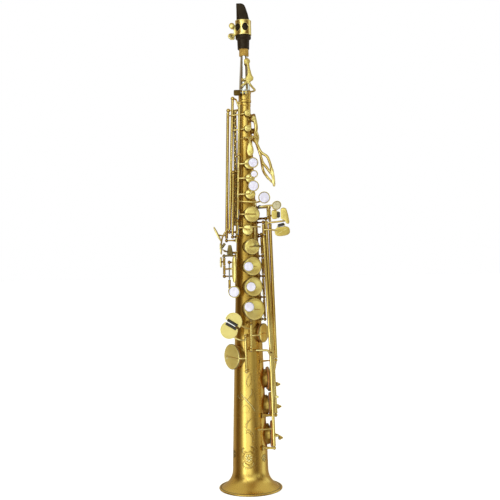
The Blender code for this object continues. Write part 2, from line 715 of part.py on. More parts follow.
def build_upper_stack():
    face = (0.08, -1, 0.0)
    stack_key("stack_b", UPPER, 457, 474.5, -STACK_OPEN, 464.0, ((11.2, -20.9, 465), face, 6.5))
    stack_key("stack_c", UPPER, 437.5, 456.4, -STACK_OPEN, 443.6, ((12.2, -20.6, 449), face, 4.6))
    stack_key("stack_a", UPPER, 418.5, 436.9, -STACK_OPEN, 421.0, ((11.2, -22.0, 432.2), face, 7.0))
    hole = HOLES["stack_g"]
    start = rod_point(UPPER, 411)
    holder, stone = pearl_pair("pearl_stack_g", Vector((25.6, -17.4, 415.6)), Vector((0.25, -1, 0)), 7.5)
    long_arm = wire(bent([start, (-4, -23.0, 410.5), (10, -24.0, 409.3), (15.5, -19.6, 409.0),
                           (19.5, -14.6, 410.5), (25.2, -15.7, 415.4)]))
    arm = wire(bent([rod_point(UPPER, 392.5), (-3.5, -24.5, 392.5), cup_top(hole, 3.4)]))
    key("stack_g", UPPER, 387.2, 417.9, [cup_solid(hole), long_arm, arm, holder], -STACK_OPEN, [stone])
    finish(stone, "pearl_stack_g", NACRE)


def build_g_sharp():
    hole = HOLES["g_sharp"]
    arm = wire(bent([rod_point(UPPER, 373.5), (-6, -23.0, 374), cup_top(hole, 3.2)]))
    key("g_sharp_key", UPPER, 365.3, 381.0, [cup_solid(hole), arm])
    holder, stone = pearl_pair("pearl_g_sharp", Vector((42.6, -24.6, 404.2)), Vector((0.25, -1, 0.05)),
                               6.2, 0.86, 35)
    lever = wire([(18.6, -23.8, 402.6), (24, -24.0, 403.2), (31, -23.8, 404.2), (42.0, -23.8, 404.2)], 1.2)
    bumper = cylinder(Vector((18.6, -25.0, 402.5)), Vector((18.6, -21.0, 402.5)), 2.6, sides=12)
    riser = wire(bent([rod_point(TABLE_GS, 397), (30.4, -24.4, 398.5), (31.5, -23.6, 404.2)]), 1.2)
    key("g_sharp_touch", TABLE_GS, 389.9, 400.1, [lever, riser, bumper, holder], 0.0, [stone])
    finish(stone, "pearl_g_sharp", NACRE)


def build_side_keys():
    hole = HOLES["side_e"]
    arm = wire(bent([rod_point(SIDE_E, 534), (-23.8, -6, 534), (-18, -11.2, 534),
                     (-8, -12.2, 535), cup_top(hole, 2.6)]), 0.9)
    link = wire(bent([rod_point(SIDE_E, 363.5), (-35, 4.5, 363), (-41.0, 8.0, 364.5)]), 1.1)
    blade = plate(oval(11.0, 24.0, 14, 2.6), 1.7, Vector((-42.4, 8.0, 365.5)), Vector((-1.0, 0.15, -0.5)),
                  ACROSS)
    key("side_e", SIDE_E, 359.0, 540.0, [cup_solid(hole, 3.2), arm, link, blade])
    hole = HOLES["side_c"]
    arm = wire(bent([rod_point(SIDE_C, 513), (-17, -11.2, 513), (-8, -12.6, 513.5),
                     cup_top(hole, 2.6)]), 0.9)
    link = wire(bent([rod_point(SIDE_C, 374), (-31.0, -8.0, 368), (-35.5, -4.0, 360), (-37.2, 1.0, 350)]),
                1.2)
    blade = plate(oval(11.0, 16.5, 12, 3.0), 1.7, Vector((-37.6, 2.0, 344.3)), Vector((-1.0, 0.1, -0.06)),
                  ACROSS)
    key("side_c", SIDE_C, 370.8, 556.2, [cup_solid(hole, 3.2), arm, link, blade])
    hole = HOLES["side_bb"]
    arm = wire(bent([rod_point(SIDE_B, 444), (-18.4, -4.0, 444.5), cup_top(hole, 2.6)]))
    key("side_bb_key", SIDE_B, 363.8, 450.2, [cup_solid(hole, 3.2), arm])
    link = wire(bent([rod_point(SHORT_F, 326), (-35.0, -2.0, 326), (-37.0, 2.0, 325)]), 1.2)
    blade = plate(oval(11.0, 15.5, 12, 3.0), 1.7, Vector((-37.8, 3.0, 325.0)), Vector((-1.0, 0.1, 0.0)),
                  ACROSS)
    key("side_bb_touch", SHORT_F, 320.5, 331.2, [link, blade])
    bars = wire([rod_point(SHORT_F, 315), (-24.0, -22.5, 316), (-19.6, -23.4, 316)], 1.2)
    leaf_plate = plate(oval(6.6, 38.0, 16, 2.4), 1.6, Vector((-18.8, -23.8, 315.0)), Vector((-0.6, -1, 0)))
    key("high_f_sharp_key", SHORT_F, 308.0, 319.8, [bars, leaf_plate])
    holder, stone = pearl_pair("pearl_trill", Vector((-19.0, -26.6, 283.5)), Vector((-0.2, -1, 0)), 7.4)
    arm = wire(bent([rod_point(SHORT_T, 292), (-24.0, -22.0, 290), (-20.4, -25.4, 285)]), 1.2)
    key("trill_key", SHORT_T, 288.0, 300.0, [holder, arm], 0.0, [stone])
    finish(stone, "pearl_trill", NACRE)


def build_lower_stack():
    stack_key("stack_fs", LOWER, 336.2, 359.3, STACK_OPEN, 347.0, bow=3.6)
    stack_key("stack_f", LOWER, 307.7, 329.8, STACK_OPEN, 317.0,
              ((-1.0, -26.6, 318.8), (-0.1, -1, 0), 6.6), bow=4.4)
    stack_key("stack_e", LOWER, 277.7, 301.3, STACK_OPEN, 288.5,
              ((2.0, -27.4, 290.4), (-0.05, -1, 0), 6.6), bow=4.4)
    stack_key("stack_d", LOWER, 246.2, 271.3, STACK_OPEN, 257.0,
              ((-1.2, -28.6, 262.4), (-0.1, -1, 0), 6.8), bow=5.2)


# ---------------------------------------------------------------- low keys
# Low B touch of the left-hand table, seen from the front, about its own middle
TABLE_B_OUTLINE = [(-6.3, 9.6), (-3.2, 11.4), (1.6, 10.2), (4.2, 1.0), (6.0, -9.6), (4.6, -12.4), (1.4, -11.4),
                   (-1.0, -6.4), (-6.3, -5.2)][::-1]


def split_touch(upper, radius=12.4, slot=1.7, tilt=-30.0):
    """One little-finger touch: a disc cut straight along the slot between the two."""
    middle = 5.0 if upper else -9.0
    points = []
    for i in range(20):
        turn = 2 * math.pi * i / 20
        x, y = radius * math.cos(turn), middle + radius * math.sin(turn)
        points.append((x, max(y, slot) if upper else min(y, -slot)))
    reach = math.sqrt(radius ** 2 - (abs(middle) - slot) ** 2)
    points = [(max(-reach, min(x, reach)) if abs(abs(y) - slot) < 1e-6 else x, y) for x, y in points]
    turn = Matrix.Rotation(math.radians(tilt), 2)
    kept = []
    for point in points:
        if not kept or (Vector(point) - Vector(kept[-1])).length > 0.3:
            kept.append(point)
    return [tuple(turn @ Vector(p)) for p in kept]


def build_pinky_keys():
    centre, facing = Vector((-22.8, -31.5, 238.2)), Vector((-0.25, -1, 0))
    hole = HOLES["e_flat"]
    touch = plate(split_touch(True), 1.8, centre, facing)
    reach = wire(bent([(-15.5, -33.2, 240.5), (-9.0, -33.0, 236), (-1.5, -31.5, 232),
                       rod_point(E_FLAT, 231.5)]), 1.15)
    arm = wire(bent([rod_point(E_FLAT, 222), (12.0, -28.6, 222), cup_top(hole, 3.4, -5.0)]))
    key("e_flat_key", E_FLAT, 205.0, 236.9, [cup_solid(hole), arm, touch, reach])
    hole = HOLES["low_c"]
    touch = plate(split_touch(False), 1.8, centre, facing)
    reach = wire(bent([(-26.5, -30.5, 226.5), (-19.0, -31.0, 219), (-11.0, -32.6, 216),
                       rod_point(LOW_C, 215.5)]), 1.15)
    arm = wire(bent([rod_point(LOW_C, 190), (-14, -30.0, 190), cup_top(hole, 3.2)]), 1.2)
    key("low_c_key", LOW_C, 175.0, 217.9, [cup_solid(hole), arm, touch, reach], LOW_OPEN)


def build_low_keys():
    hole = HOLES["low_cs"]
    arm = wire(bent([rod_point(LOW_CS, 191), (39.0, 1.0, 180), (36.0, 4.0, 165), cup_top(hole, 3.0)]), 1.2)
    key("low_c_sharp_key", LOW_CS, 187.0, 379.0, [cup_solid(hole), arm])
    link = wire(bent([rod_point(LOW_CS, 390), (36.5, -14.0, 390.5), (39.4, -19.5, 391)]), 1.2)
    touch = plate(oval(8.6, 13.0, 16, 3.6), 1.8, Vector((39.6, -20.0, 391.6)), Vector((0, -1, 0.0)))
    pin = cylinder(Vector((45.4, -20.6, 386.2)), Vector((45.4, -20.6, 396.2)), 1.7, sides=12, name="roller")
    ears = [block(Vector((44.0, -20.3, z)), (4.6, 1.4, 1.6)) for z in (386.9, 395.5)]
    key("c_sharp_touch", LOW_CS, 382.5, 399.2, [link, touch, pin, *ears])
    hole = HOLES["low_b"]
    arm = wire(bent([rod_point(LOW_B, 119), (40.5, -4.0, 119), cup_top(hole, 3.0)]), 1.2)
    link = wire(bent([rod_point(LOW_B, 379.3), (33.4, -16.6, 380.5), (46.0, -16.6, 381.5), (56.5, -17.0, 383.0),
                      (57.5, -20.0, 384.0)]), 1.2)
    bar = plate(TABLE_B_OUTLINE, 1.8, Vector((55.2, -20.4, 390.0)), Vector((0.05, -1, 0)))
    key("low_b_key", LOW_B, 109.9, 383.0, [cup_solid(hole), arm, link, bar], -LOW_OPEN)
    hole = HOLES["low_bb"]
    arm = wire(bent([rod_point(LOW_BB, 77), (40.6, -9.0, 77), cup_top(hole, 3.0)]), 1.2)
    link = wire(bent([rod_point(LOW_BB, 193), (30.4, -25.0, 194.0), (28.0, -26.4, 201.0),
                      (11.0, -27.4, 200.8)]), 1.3)
    foot = wire(bent([rod_point(LOW_BB, 89), (24.0, -24.5, 89), (12.0, -28.0, 89)]), 0.9)
    key("low_bb_key", LOW_BB, 64.3, 196.0, [cup_solid(hole), arm, link, foot], -LOW_OPEN)
    link = wire(bent([rod_point(TABLE_BB, 370.5), (33.0, -21.6, 370.5), (44.0, -20.6, 368.5)]), 1.2)
    touch = plate(oval(22.0, 13.4, 18, 2.8), 1.8, Vector((50.4, -20.2, 367.8)), Vector((0.04, -1, 0)),
                  Vector((1, 0, 0.12)))
    pin = cylinder(Vector((42.8, -20.8, 375.4)), Vector((54.4, -21.2, 378.2)), 1.9, sides=12, name="roller")
    ears = [block(Vector((x, -20.5, z)), (1.6, 1.4, 3.6)) for x, z in ((43.6, 374.0), (53.6, 376.2))]
    key("bb_touch", TABLE_BB, 364.0, 378.0, [link, touch, pin, *ears])


def build_guard():
    """Bumper guard over the low cups, standing on the back of the body."""
    spine = strip(150, 60.0, 160.0)
    pieces = []
    for z, reach in ((148.0, 45.0), (116.0, 46.0), (71.0, 47.5)):
        hoop = bent([surface(150, z, 1.0), (20.0, 33.0, z), (34.0, 24.0, z), (reach - 3.4, 12.0, z),
                     (reach - 3.4, 3.0, z)])
        pieces.append(wire(hoop, 1.3))
        pieces.append(cylinder(Vector((reach - 5.4, 3.0, z)), Vector((reach, 3.0, z)), 3.2, 1.0, sides=12))
    return solder("low_key_guard", spine, pieces, POSTS)


# ---------------------------------------------------------------- back furniture
def build_back():
    foot = surface(180, 424, GAP + 0.8)
    base = strip(180, 414.0, 434.0, 6.0, 1.4)
    pad = turned([(0, 2.2), (5.0, 1.8), (7.5, 0.6), (7.5, -0.8), (0, -0.8)], Vector((0, foot.y + 4.2, 424.0)),
                 Vector((0, 1, 0)), 18)
    stalk = cylinder(foot, foot + Vector((0, 4.0, 0)), 2.4, sides=10)
    solder("thumb_rest", base, [stalk, pad], POSTS)
    posts = post(-152, THUMB, 551) + post(-152, THUMB, 431)
    rib("back_rib", -152, 428.0, 552.0, posts, 3.6)
    paddle = plate(oval(13.0, 17.0, 14, 2.6), 1.8, Vector((1.5, 25.0, 447.0)), Vector((0, 1, 0)))
    arm = wire(bent([rod_point(THUMB, 446), (-6.0, 23.5, 446), (-1.0, 24.8, 446)]), 1.3)
    lift = wire(bent([rod_point(THUMB, 545), (-5.5, 19.5, 549), (-5.0, 19.0, 558), (-3.5, 15.2, 567)]), 1.3)
    key("thumb_octave_lever", THUMB, 434.0, 548.0, [paddle, arm, lift])
    ring = wire([(0, 24.6 + 7.0 * math.cos(t), 332 + 7.0 * math.sin(t))
                 for t in (2 * math.pi * i / 20 for i in range(20))], 1.6, cyclic=True)
    plate_base = strip(180, 322.0, 342.0, 8.0, 1.6)
    solder("strap_ring", plate_base, [ring], POSTS)
    hook_base = strip(180, 252.0, 276.0, 9.0, 1.6)
    hook = wire(bent([surface(180, 270, 1.2), (0, 32.0, 271), (1.0, 40.5, 268), (2.0, 43.4, 256)]), 2.6)
    solder("thumb_hook", hook_base, [hook], POSTS)


def build_all():
    build_body()
    build_bell()
    build_receiver()
    build_clamp_screw()
    build_neck()
    build_cork()
    build_mouthpiece()
    build_ligature()
    for name, x, z in zip(("ligature_screw_upper", "ligature_screw_lower"), LIGATURE_SCREW_X,
                          LIGATURE_SCREW_Z):
        build_ligature_screw(name, x, z)
    build_neck_key()
    build_ribs()
    build_palm_posts()
    build_palm_keys()
    build_front_f()
    build_upper_stack()
    build_g_sharp()
    build_side_keys()
    build_lower_stack()
    build_pinky_keys()
    build_low_keys()
    build_guard()
    build_back()
    bpy.data.scenes.remove(BENCH)


build_all()
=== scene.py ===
"""Looks of the soprano saxophone: fine brasswork, pearls, pads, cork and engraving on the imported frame.

Shaping numbers are millimetres in the instrument's own frame: the bore is the vertical
line x = 0, y = 0, the bell stands on z = 0 and the stack keys face -Y.
"""
import math

import bmesh
import bpy
from mathutils import Matrix, Vector


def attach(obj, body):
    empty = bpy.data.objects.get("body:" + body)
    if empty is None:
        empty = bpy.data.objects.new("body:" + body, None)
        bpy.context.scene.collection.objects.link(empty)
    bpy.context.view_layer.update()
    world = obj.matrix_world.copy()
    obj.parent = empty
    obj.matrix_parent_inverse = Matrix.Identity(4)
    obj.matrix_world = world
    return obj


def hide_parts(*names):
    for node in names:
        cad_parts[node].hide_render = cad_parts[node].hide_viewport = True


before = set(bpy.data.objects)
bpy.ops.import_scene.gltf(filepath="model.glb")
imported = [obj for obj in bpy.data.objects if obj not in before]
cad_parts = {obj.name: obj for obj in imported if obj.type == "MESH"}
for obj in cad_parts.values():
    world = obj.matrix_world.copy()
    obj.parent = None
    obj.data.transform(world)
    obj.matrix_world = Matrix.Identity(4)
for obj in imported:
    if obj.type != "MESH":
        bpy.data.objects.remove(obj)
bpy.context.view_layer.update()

MM = 0.001
AXIS_X = -6.0
ROOT = Matrix.Translation((AXIS_X * MM, 0.0, 0.0)) @ Matrix.Scale(MM, 4)
UP = Vector((0, 0, 1))
RIGHT = Vector((1, 0, 0))
BACK = Vector((0, 1, 0))

# ---------------------------------------------------------------- layout, as in the frame
BODY_TOP_Z, BODY_FOOT_Z = 553.0, 36.0
BELL_RADIUS, RIM_RADIUS, FLARE_POWER = 44.6, 1.4, 3.6
WALL, GAP = 1.0, 0.35
TUBE_R, ARM_R, POST_R, BALL_R = 1.8, 1.05, 1.25, 2.4
TUBE_SIZES = {543.0: 2.1, 559.0: 2.0, 199.0: 2.2, 386.0: 2.45, 402.0: 2.4}  # long tubes, by their top
CHIMNEY_RISE, PAD_LIFT, CHIMNEY_SHARE = 3.0, 0.35, 0.8
STACK_OPEN, LOW_OPEN, ARM_RISE = 8.0, 5.5, 4.6
BARREL_R, BARREL_X = 10.2, -0.6
LIGATURE_SCREWS = {"ligature_screw_upper": (-16.6, 662.5), "ligature_screw_lower": (-18.2, 647.6)}
LIGATURE_LUGS = ((-15.0, 662.5, 5.0), (-16.6, 648.9, 8.0))  # x, height, length
CLAMP_Y, CLAMP_Z = -11.8, 566.0


def rod(x0, y0, z0, x1, y1, z1):
    return Vector((x0, y0, z0)), Vector((x1, y1, z1))


UPPER = rod(-7.6, -16.2, 551.0, -13.3, -20.4, 362.0)
SIDE_E = rod(-24.3, 1.5, 543.0, -29.3, 1.5, 356.0)
SIDE_C = rod(-17.2, -4.5, 559.0, -24.6, -6.0, 368.0)
SIDE_B = rod(-18.0, -10.5, 453.0, -20.2, -12.5, 361.0)
LOWER = rod(20.8, -7.4, 364.0, 24.0, -8.4, 243.0)
E_FLAT = rod(4.1, -28.0, 240.0, 3.6, -29.0, 202.0)
LOW_C = rod(-4.1, -28.5, 221.0, -3.5, -30.0, 172.0)
LOW_BB = rod(31.0, -19.6, 199.0, 34.2, -18.6, 61.4)
LOW_B = rod(27.3, -15.0, 386.0, 37.2, -14.0, 107.0)
LOW_CS = rod(32.6, -9.0, 402.0, 38.7, -6.0, 184.0)
TABLE_GS = rod(30.2, -20.5, 403.0, 30.4, -20.5, 387.0)
TABLE_BB = rod(23.4, -19.0, 381.0, 23.8, -19.0, 361.0)
SHORT_F = rod(-33.0, -6.0, 334.0, -33.0, -7.0, 305.0)
SHORT_T = rod(-25.5, -17.0, 325.0, -25.5, -17.5, 285.0)
THUMB = rod(-8.2, 14.0, 551.0, -10.6, 18.4, 431.0)
PALM_HINGES = {"palm_d": (55, 503.0), "palm_eb": (88, 494.0), "palm_f": (121, 503.0)}
FRONT_F_ANGLE = 13

# angle round the body (0 = front, + = right), height, cup radius
HOLES = {
    "side_e": (15, 537.0, 4.6), "side_c": (15, 515.0, 4.9), "palm_d": (58, 529.0, 4.6),
    "palm_eb": (84, 512.5, 4.8), "palm_f": (110, 534.0, 4.4), "stack_b": (18, 464.0, 7.6),
    "stack_c": (19, 443.6, 6.6), "stack_a": (18, 421.0, 7.3), "stack_g": (23, 392.5, 11.3),
    "side_bb": (-118, 445.0, 5.6), "g_sharp": (4, 370.5, 7.6), "stack_fs": (14, 346.6, 11.4),
    "stack_f": (15, 319.0, 13.4), "stack_e": (16, 290.0, 13.7), "stack_d": (17, 258.6, 15.6),
    "e_flat": (58, 224.0, 13.6), "low_c": (-58, 191.0, 18.0), "low_cs": (98, 157.0, 16.6),
    "low_b": (98, 119.0, 17.6), "low_bb": (98, 77.0, 18.6),
}


def body_radius(z):
    drop = BODY_TOP_Z - z
    return 7.9 + 0.0382 * drop - 0.9e-5 * drop * drop


def flare_radius(z):
    base = body_radius(BODY_FOOT_Z)
    return base + (BELL_RADIUS - base) * (1 - z / BODY_FOOT_Z) ** FLARE_POWER


def skin_radius(z):
    """Outer radius of body and bell together."""
    return body_radius(z) if z >= BODY_FOOT_Z else flare_radius(max(z - RIM_RADIUS, 0))


def outward(angle):
    turn = math.radians(angle)
    return Vector((math.sin(turn), -math.cos(turn), 0.0))


def around(angle):
    turn = math.radians(angle)
    return Vector((math.cos(turn), math.sin(turn), 0.0))


def surface(angle, z, lift=0.0):
    point = outward(angle) * (body_radius(z) + lift)
    point.z = z
    return point


def on_rod(line, z):
    top, foot = line
    return top.lerp(foot, (top.z - z) / (top.z - foot.z))


def rod_axis(line):
    return (line[0] - line[1]).normalized()


def cross_ends(angle, z, lift, half):
    side = around(angle)
    centre = surface(angle, z, lift)
    return centre - side * half, centre + side * half


def cup_top(hole, rise=3.0, across=0.0):
    angle, z, _ = HOLES[hole]
    point = outward(angle) * (body_radius(z) + CHIMNEY_RISE + PAD_LIFT + rise) + around(angle) * across
    point.z = z
    return point


# ---------------------------------------------------------------- finishes
def node_tree(name):
    mat = bpy.data.materials.new(name)
    mat.use_nodes = True
    tree = mat.node_tree
    return mat, tree, tree.nodes["Principled BSDF"]


def add_node(tree, kind, **values):
    made = tree.nodes.new(kind)
    for key, value in values.items():
        if key in made.inputs:
            made.inputs[key].default_value = value
        else:
            setattr(made, key, value)
    return made


def math_node(tree, operation, *sources):
    made = add_node(tree, "ShaderNodeMath", operation=operation)
    for slot, source in enumerate(sources):
        if isinstance(source, bpy.types.NodeSocket):
            tree.links.new(source, made.inputs[slot])
        else:
            made.inputs[slot].default_value = source
    return made.outputs[0]


def noise(tree, scale, detail=4.0, stretch=(1, 1, 1)):
    """Noise in the piece's own metres, stretched along an axis."""
    place = add_node(tree, "ShaderNodeTexCoord")
    mapping = add_node(tree, "ShaderNodeMapping")
    mapping.inputs["Scale"].default_value = stretch
    tree.links.new(place.outputs["Object"], mapping.inputs["Vector"])
    made = add_node(tree, "ShaderNodeTexNoise", Scale=scale, Detail=detail)
    tree.links.new(mapping.outputs["Vector"], made.inputs["Vector"])
    return made.outputs["Fac"]


def ramp(tree, source, low, high, start=0.3, end=0.7):
    """Two colours or greys spread over a source."""
    made = add_node(tree, "ShaderNodeValToRGB")
    for stop, place, value in zip(made.color_ramp.elements, (start, end), (low, high)):
        stop.position = place
        stop.color = (*value, 1.0) if hasattr(value, "__len__") else (value, value, value, 1.0)
    tree.links.new(source, made.inputs["Fac"])
    return made.outputs["Color"]


def blend_colours(tree, share, first, second, mode="MIX"):
    made = add_node(tree, "ShaderNodeMix", data_type="RGBA", blend_type=mode)
    for socket, value in ((made.inputs[0], share), (made.inputs[6], first), (made.inputs[7], second)):
        if isinstance(value, bpy.types.NodeSocket):
            tree.links.new(value, socket)
        elif hasattr(value, "__len__"):
            socket.default_value = (*value, 1.0)
        else:
            socket.default_value = value
    return made.outputs[2]


def bump(tree, shader, height, strength, distance):
    made = add_node(tree, "ShaderNodeBump", Strength=strength, Distance=distance)
    tree.links.new(height, made.inputs["Height"])
    tree.links.new(made.outputs["Normal"], shader.inputs["Normal"])


def graded(tree, source, stops):
    """Colour ramp through (place, colour) stops."""
    made = add_node(tree, "ShaderNodeValToRGB")
    elements = made.color_ramp.elements
    elements[0].position, elements[-1].position = stops[0][0], stops[-1][0]
    elements[0].color, elements[-1].color = (*stops[0][1], 1.0), (*stops[-1][1], 1.0)
    for place, colour in stops[1:-1]:
        elements.new(place).color = (*colour, 1.0)
    tree.links.new(source, made.inputs["Fac"])
    return made.outputs["Color"]


def painted_shade_by_height(tree, stops):
    """Painted shade that changes up the instrument: stops are (height in mm, colour)."""
    axes = add_node(tree, "ShaderNodeSeparateXYZ")
    tree.links.new(add_node(tree, "ShaderNodeTexCoord").outputs["Object"], axes.inputs[0])
    height = math_node(tree, "MULTIPLY", axes.outputs[2], 1 / (700 * MM))
    return graded(tree, height, [(at / 700, colour) for at, colour in stops])


def metal(name, deep, pale, rough, grain=1400.0, grain_strength=0.05, patina_and_shade=(0.30, 0.16, 0.04),
          edge=None, brushed=(1, 1, 1), metallic=1.0, painted_shade_zones=None):
    """Lacquered metal: mottled colour, edges brightened by wear, patina and painted shade in the corners, painted shade
    by height where given, fine grain.
    """
    mat, tree, shader = node_tree(name)
    shader.inputs["Metallic"].default_value = metallic
    base = ramp(tree, noise(tree, 42.0, 5.0), deep, pale, 0.32, 0.68)
    # painted shade by height, where the keywork shades the metal
    if painted_shade_zones:
        base = blend_colours(tree, 1.0, base, painted_shade_by_height(tree, painted_shade_zones), "MULTIPLY")
    # patina in the hollows, partly painted shade: darker where other parts close in round the surface
    corner = add_node(tree, "ShaderNodeAmbientOcclusion", samples=6, Distance=0.0045)
    hollow_patina_and_shade = ramp(tree, corner.outputs["AO"], 1.0, 0.0, 0.25, 0.85)
    base = blend_colours(tree, hollow_patina_and_shade, base, patina_and_shade)
    if edge:
        sharp = add_node(tree, "ShaderNodeNewGeometry").outputs["Pointiness"]
        base = blend_colours(tree, ramp(tree, sharp, 0.0, 0.8, 0.53, 0.62), base, edge)
    tree.links.new(base, shader.inputs["Base Color"])
    polish = ramp(tree, noise(tree, 180.0, 6.0, brushed), rough[0], rough[1])
    tree.links.new(polish, shader.inputs["Roughness"])
    bump(tree, shader, noise(tree, grain, 3.0, brushed), grain_strength, 0.0002)
    return mat


def plain(name, deep, pale, rough, scale, grain, strength, depth=0.0003, **sockets):
    """Cork, leather, felt, ebonite: mottled colour over a grain."""
    mat, tree, shader = node_tree(name)
    for socket, value in sockets.items():
        shader.inputs[socket.replace("_", " ")].default_value = value
    tree.links.new(ramp(tree, noise(tree, scale, 6.0), deep, pale), shader.inputs["Base Color"])
    tree.links.new(ramp(tree, noise(tree, scale * 2.0), rough[0], rough[1]), shader.inputs["Roughness"])
    bump(tree, shader, noise(tree, grain, 5.0), strength, depth)
    return mat


def nacre(name, cloud, clear, rose, bright):
    """Mother of pearl: soft cloudy layers of white, lavender and rose under a clear polish."""
    mat, tree, shader = node_tree(name)
    clouds = noise(tree, 150.0, 7.0, (1, 1, 0.6))
    layers = add_node(tree, "ShaderNodeTexWave", Scale=60.0, Distortion=9.0, Detail=3.0)
    place = add_node(tree, "ShaderNodeTexCoord")
    tree.links.new(place.outputs["Object"], layers.inputs["Vector"])
    first = ramp(tree, clouds, cloud, clear, 0.35, 0.62)
    second = ramp(tree, layers.outputs["Fac"], rose, bright)
    tree.links.new(blend_colours(tree, 0.4, first, second), shader.inputs["Base Color"])
    tree.links.new(ramp(tree, clouds, 0.16, 0.30), shader.inputs["Roughness"])
    shader.inputs["Coat Weight"].default_value = 0.6
    shader.inputs["Coat Roughness"].default_value = 0.06
    shader.inputs["Sheen Weight"].default_value = 0.15
    return mat


# satin body brass, darkened from 215 to 505 mm as painted shade behind the keywork
SATIN = metal("satin_brass", (0.78, 0.48, 0.10), (0.84, 0.54, 0.13), (0.25, 0.30), 2600.0, 0.03,
              (0.22, 0.10, 0.015), brushed=(1, 1, 0.25),
              painted_shade_zones=((0, (1, 1, 1)), (215, (1, 1, 1)), (250, (0.66, 0.60, 0.50)), (470, (0.60, 0.54, 0.42)),
                      (505, (1, 1, 1))))
# chimneys in a dark brass: painted shade on the tone-hole walls
CHIMNEYS = metal("chimney_brass_painted_shade", (0.34, 0.19, 0.035), (0.50, 0.31, 0.07), (0.28, 0.42), 2000.0, 0.08,
                 (0.12, 0.05, 0.008))
KEYS = metal("polished_key_brass", (0.86, 0.65, 0.17), (0.93, 0.75, 0.26), (0.16, 0.25), 900.0, 0.03,
             (0.20, 0.10, 0.015), (1.0, 0.92, 0.52), metallic=0.66)
# hinge tubes, darkened from 225 to 430 mm as painted shade behind the keywork
TUBES = metal("hinge_tube_brass", (0.84, 0.57, 0.15), (0.94, 0.71, 0.25), (0.12, 0.20), 900.0, 0.03,
              (0.16, 0.07, 0.01), (1.0, 0.90, 0.46), brushed=(1, 1, 0.2),
              painted_shade_zones=((0, (1, 1, 1)), (225, (1, 1, 1)), (250, (0.74, 0.64, 0.46)), (360, (0.74, 0.64, 0.46)),
                      (430, (1, 1, 1))))
# posts, darkened from 205 to 480 mm as painted shade behind the keywork
POSTS = metal("post_brass", (0.76, 0.49, 0.11), (0.88, 0.63, 0.20), (0.15, 0.26), 900.0, 0.04,
              (0.16, 0.07, 0.01), (0.98, 0.84, 0.40),
              painted_shade_zones=((0, (1, 1, 1)), (205, (1, 1, 1)), (240, (0.55, 0.44, 0.28)), (430, (0.55, 0.44, 0.28)),
                      (480, (1, 1, 1))))
# little-finger touches: worn and duller, with a darker colour as painted shade
TOUCHES = metal("worn_touch_brass_painted_shade", (0.62, 0.49, 0.14), (0.70, 0.57, 0.19), (0.46, 0.56), 900.0, 0.03,
                (0.20, 0.10, 0.015), (1.0, 0.92, 0.52), metallic=0.4)
# painted shade: dark brass for rims, plates and bars that stand in shadow
SHADOWED = metal("painted_shade_brass", (0.20, 0.13, 0.04), (0.34, 0.24, 0.09), (0.30, 0.44), 1400.0, 0.06,
                 (0.06, 0.03, 0.008), (0.5, 0.38, 0.16))
# darker copy of the key brass for table plates and the neck octave key: painted shade
LEVERS = metal("lever_brass_painted_shade", (0.62, 0.43, 0.09), (0.74, 0.55, 0.16), (0.26, 0.38), 900.0, 0.03,
               (0.18, 0.09, 0.015), (0.96, 0.84, 0.42), metallic=0.8)
ENGRAVED = metal("engraved_brass", (0.32, 0.155, 0.02), (0.46, 0.25, 0.05), (0.42, 0.6), 3000.0, 0.2)
# bright-cut strokes in a paler brass: painted glint of the cut facets
CUT_BRIGHT = metal("bright_cut_brass_painted_glint", (0.92, 0.74, 0.28), (0.98, 0.88, 0.48), (0.20, 0.32), 3000.0, 0.1)
SILVER = metal("silver_plate", (0.78, 0.75, 0.70), (0.90, 0.88, 0.85), (0.10, 0.18), 1200.0, 0.03,
               (0.38, 0.33, 0.26), brushed=(1, 1, 0.1))
STEEL = metal("blued_steel", (0.34, 0.34, 0.36), (0.52, 0.51, 0.50), (0.22, 0.34), 1600.0, 0.04,
              (0.12, 0.10, 0.09))
KNURLED = metal("dark_knurled_brass", (0.13, 0.07, 0.015), (0.22, 0.13, 0.03), (0.32, 0.45), 1800.0, 0.2,
                (0.04, 0.02, 0.006), (0.40, 0.26, 0.06))
EBONITE = plain("ebonite", (0.008, 0.005, 0.0025), (0.018, 0.012, 0.006), (0.30, 0.44), 60.0, 900.0, 0.04,
                Specular_IOR_Level=0.3, Specular_Tint=(1.0, 0.74, 0.48, 1.0))
CORK = plain("cork", (0.27, 0.145, 0.018), (0.45, 0.27, 0.045), (0.72, 0.92), 420.0, 900.0, 0.5)
LEATHER = plain("pad_leather", (0.34, 0.12, 0.02), (0.54, 0.21, 0.04), (0.42, 0.62), 160.0, 1300.0, 0.25,
                Sheen_Weight=0.1)
FELT = plain("key_felt", (0.02, 0.014, 0.012), (0.05, 0.036, 0.03), (0.85, 0.98), 300.0, 2400.0, 0.6,
             Sheen_Weight=0.1)
ROLLER = plain("roller_resin", (0.016, 0.010, 0.007), (0.036, 0.025, 0.017), (0.25, 0.42), 260.0, 800.0, 0.06)
PAINTED_SHADOW = plain("bore_shadow", (0.03, 0.015, 0.004), (0.06, 0.03, 0.01), (0.6, 0.8), 100.0, 500.0, 0.1)
NACRE = nacre("mother_of_pearl", (0.50, 0.46, 0.60), (0.72, 0.68, 0.80), (0.66, 0.60, 0.68), (0.74, 0.72, 0.80))
AGED_NACRE = nacre("aged_mother_of_pearl", (0.36, 0.30, 0.16), (0.58, 0.50, 0.30), (0.46, 0.40, 0.24),
                   (0.60, 0.54, 0.36))


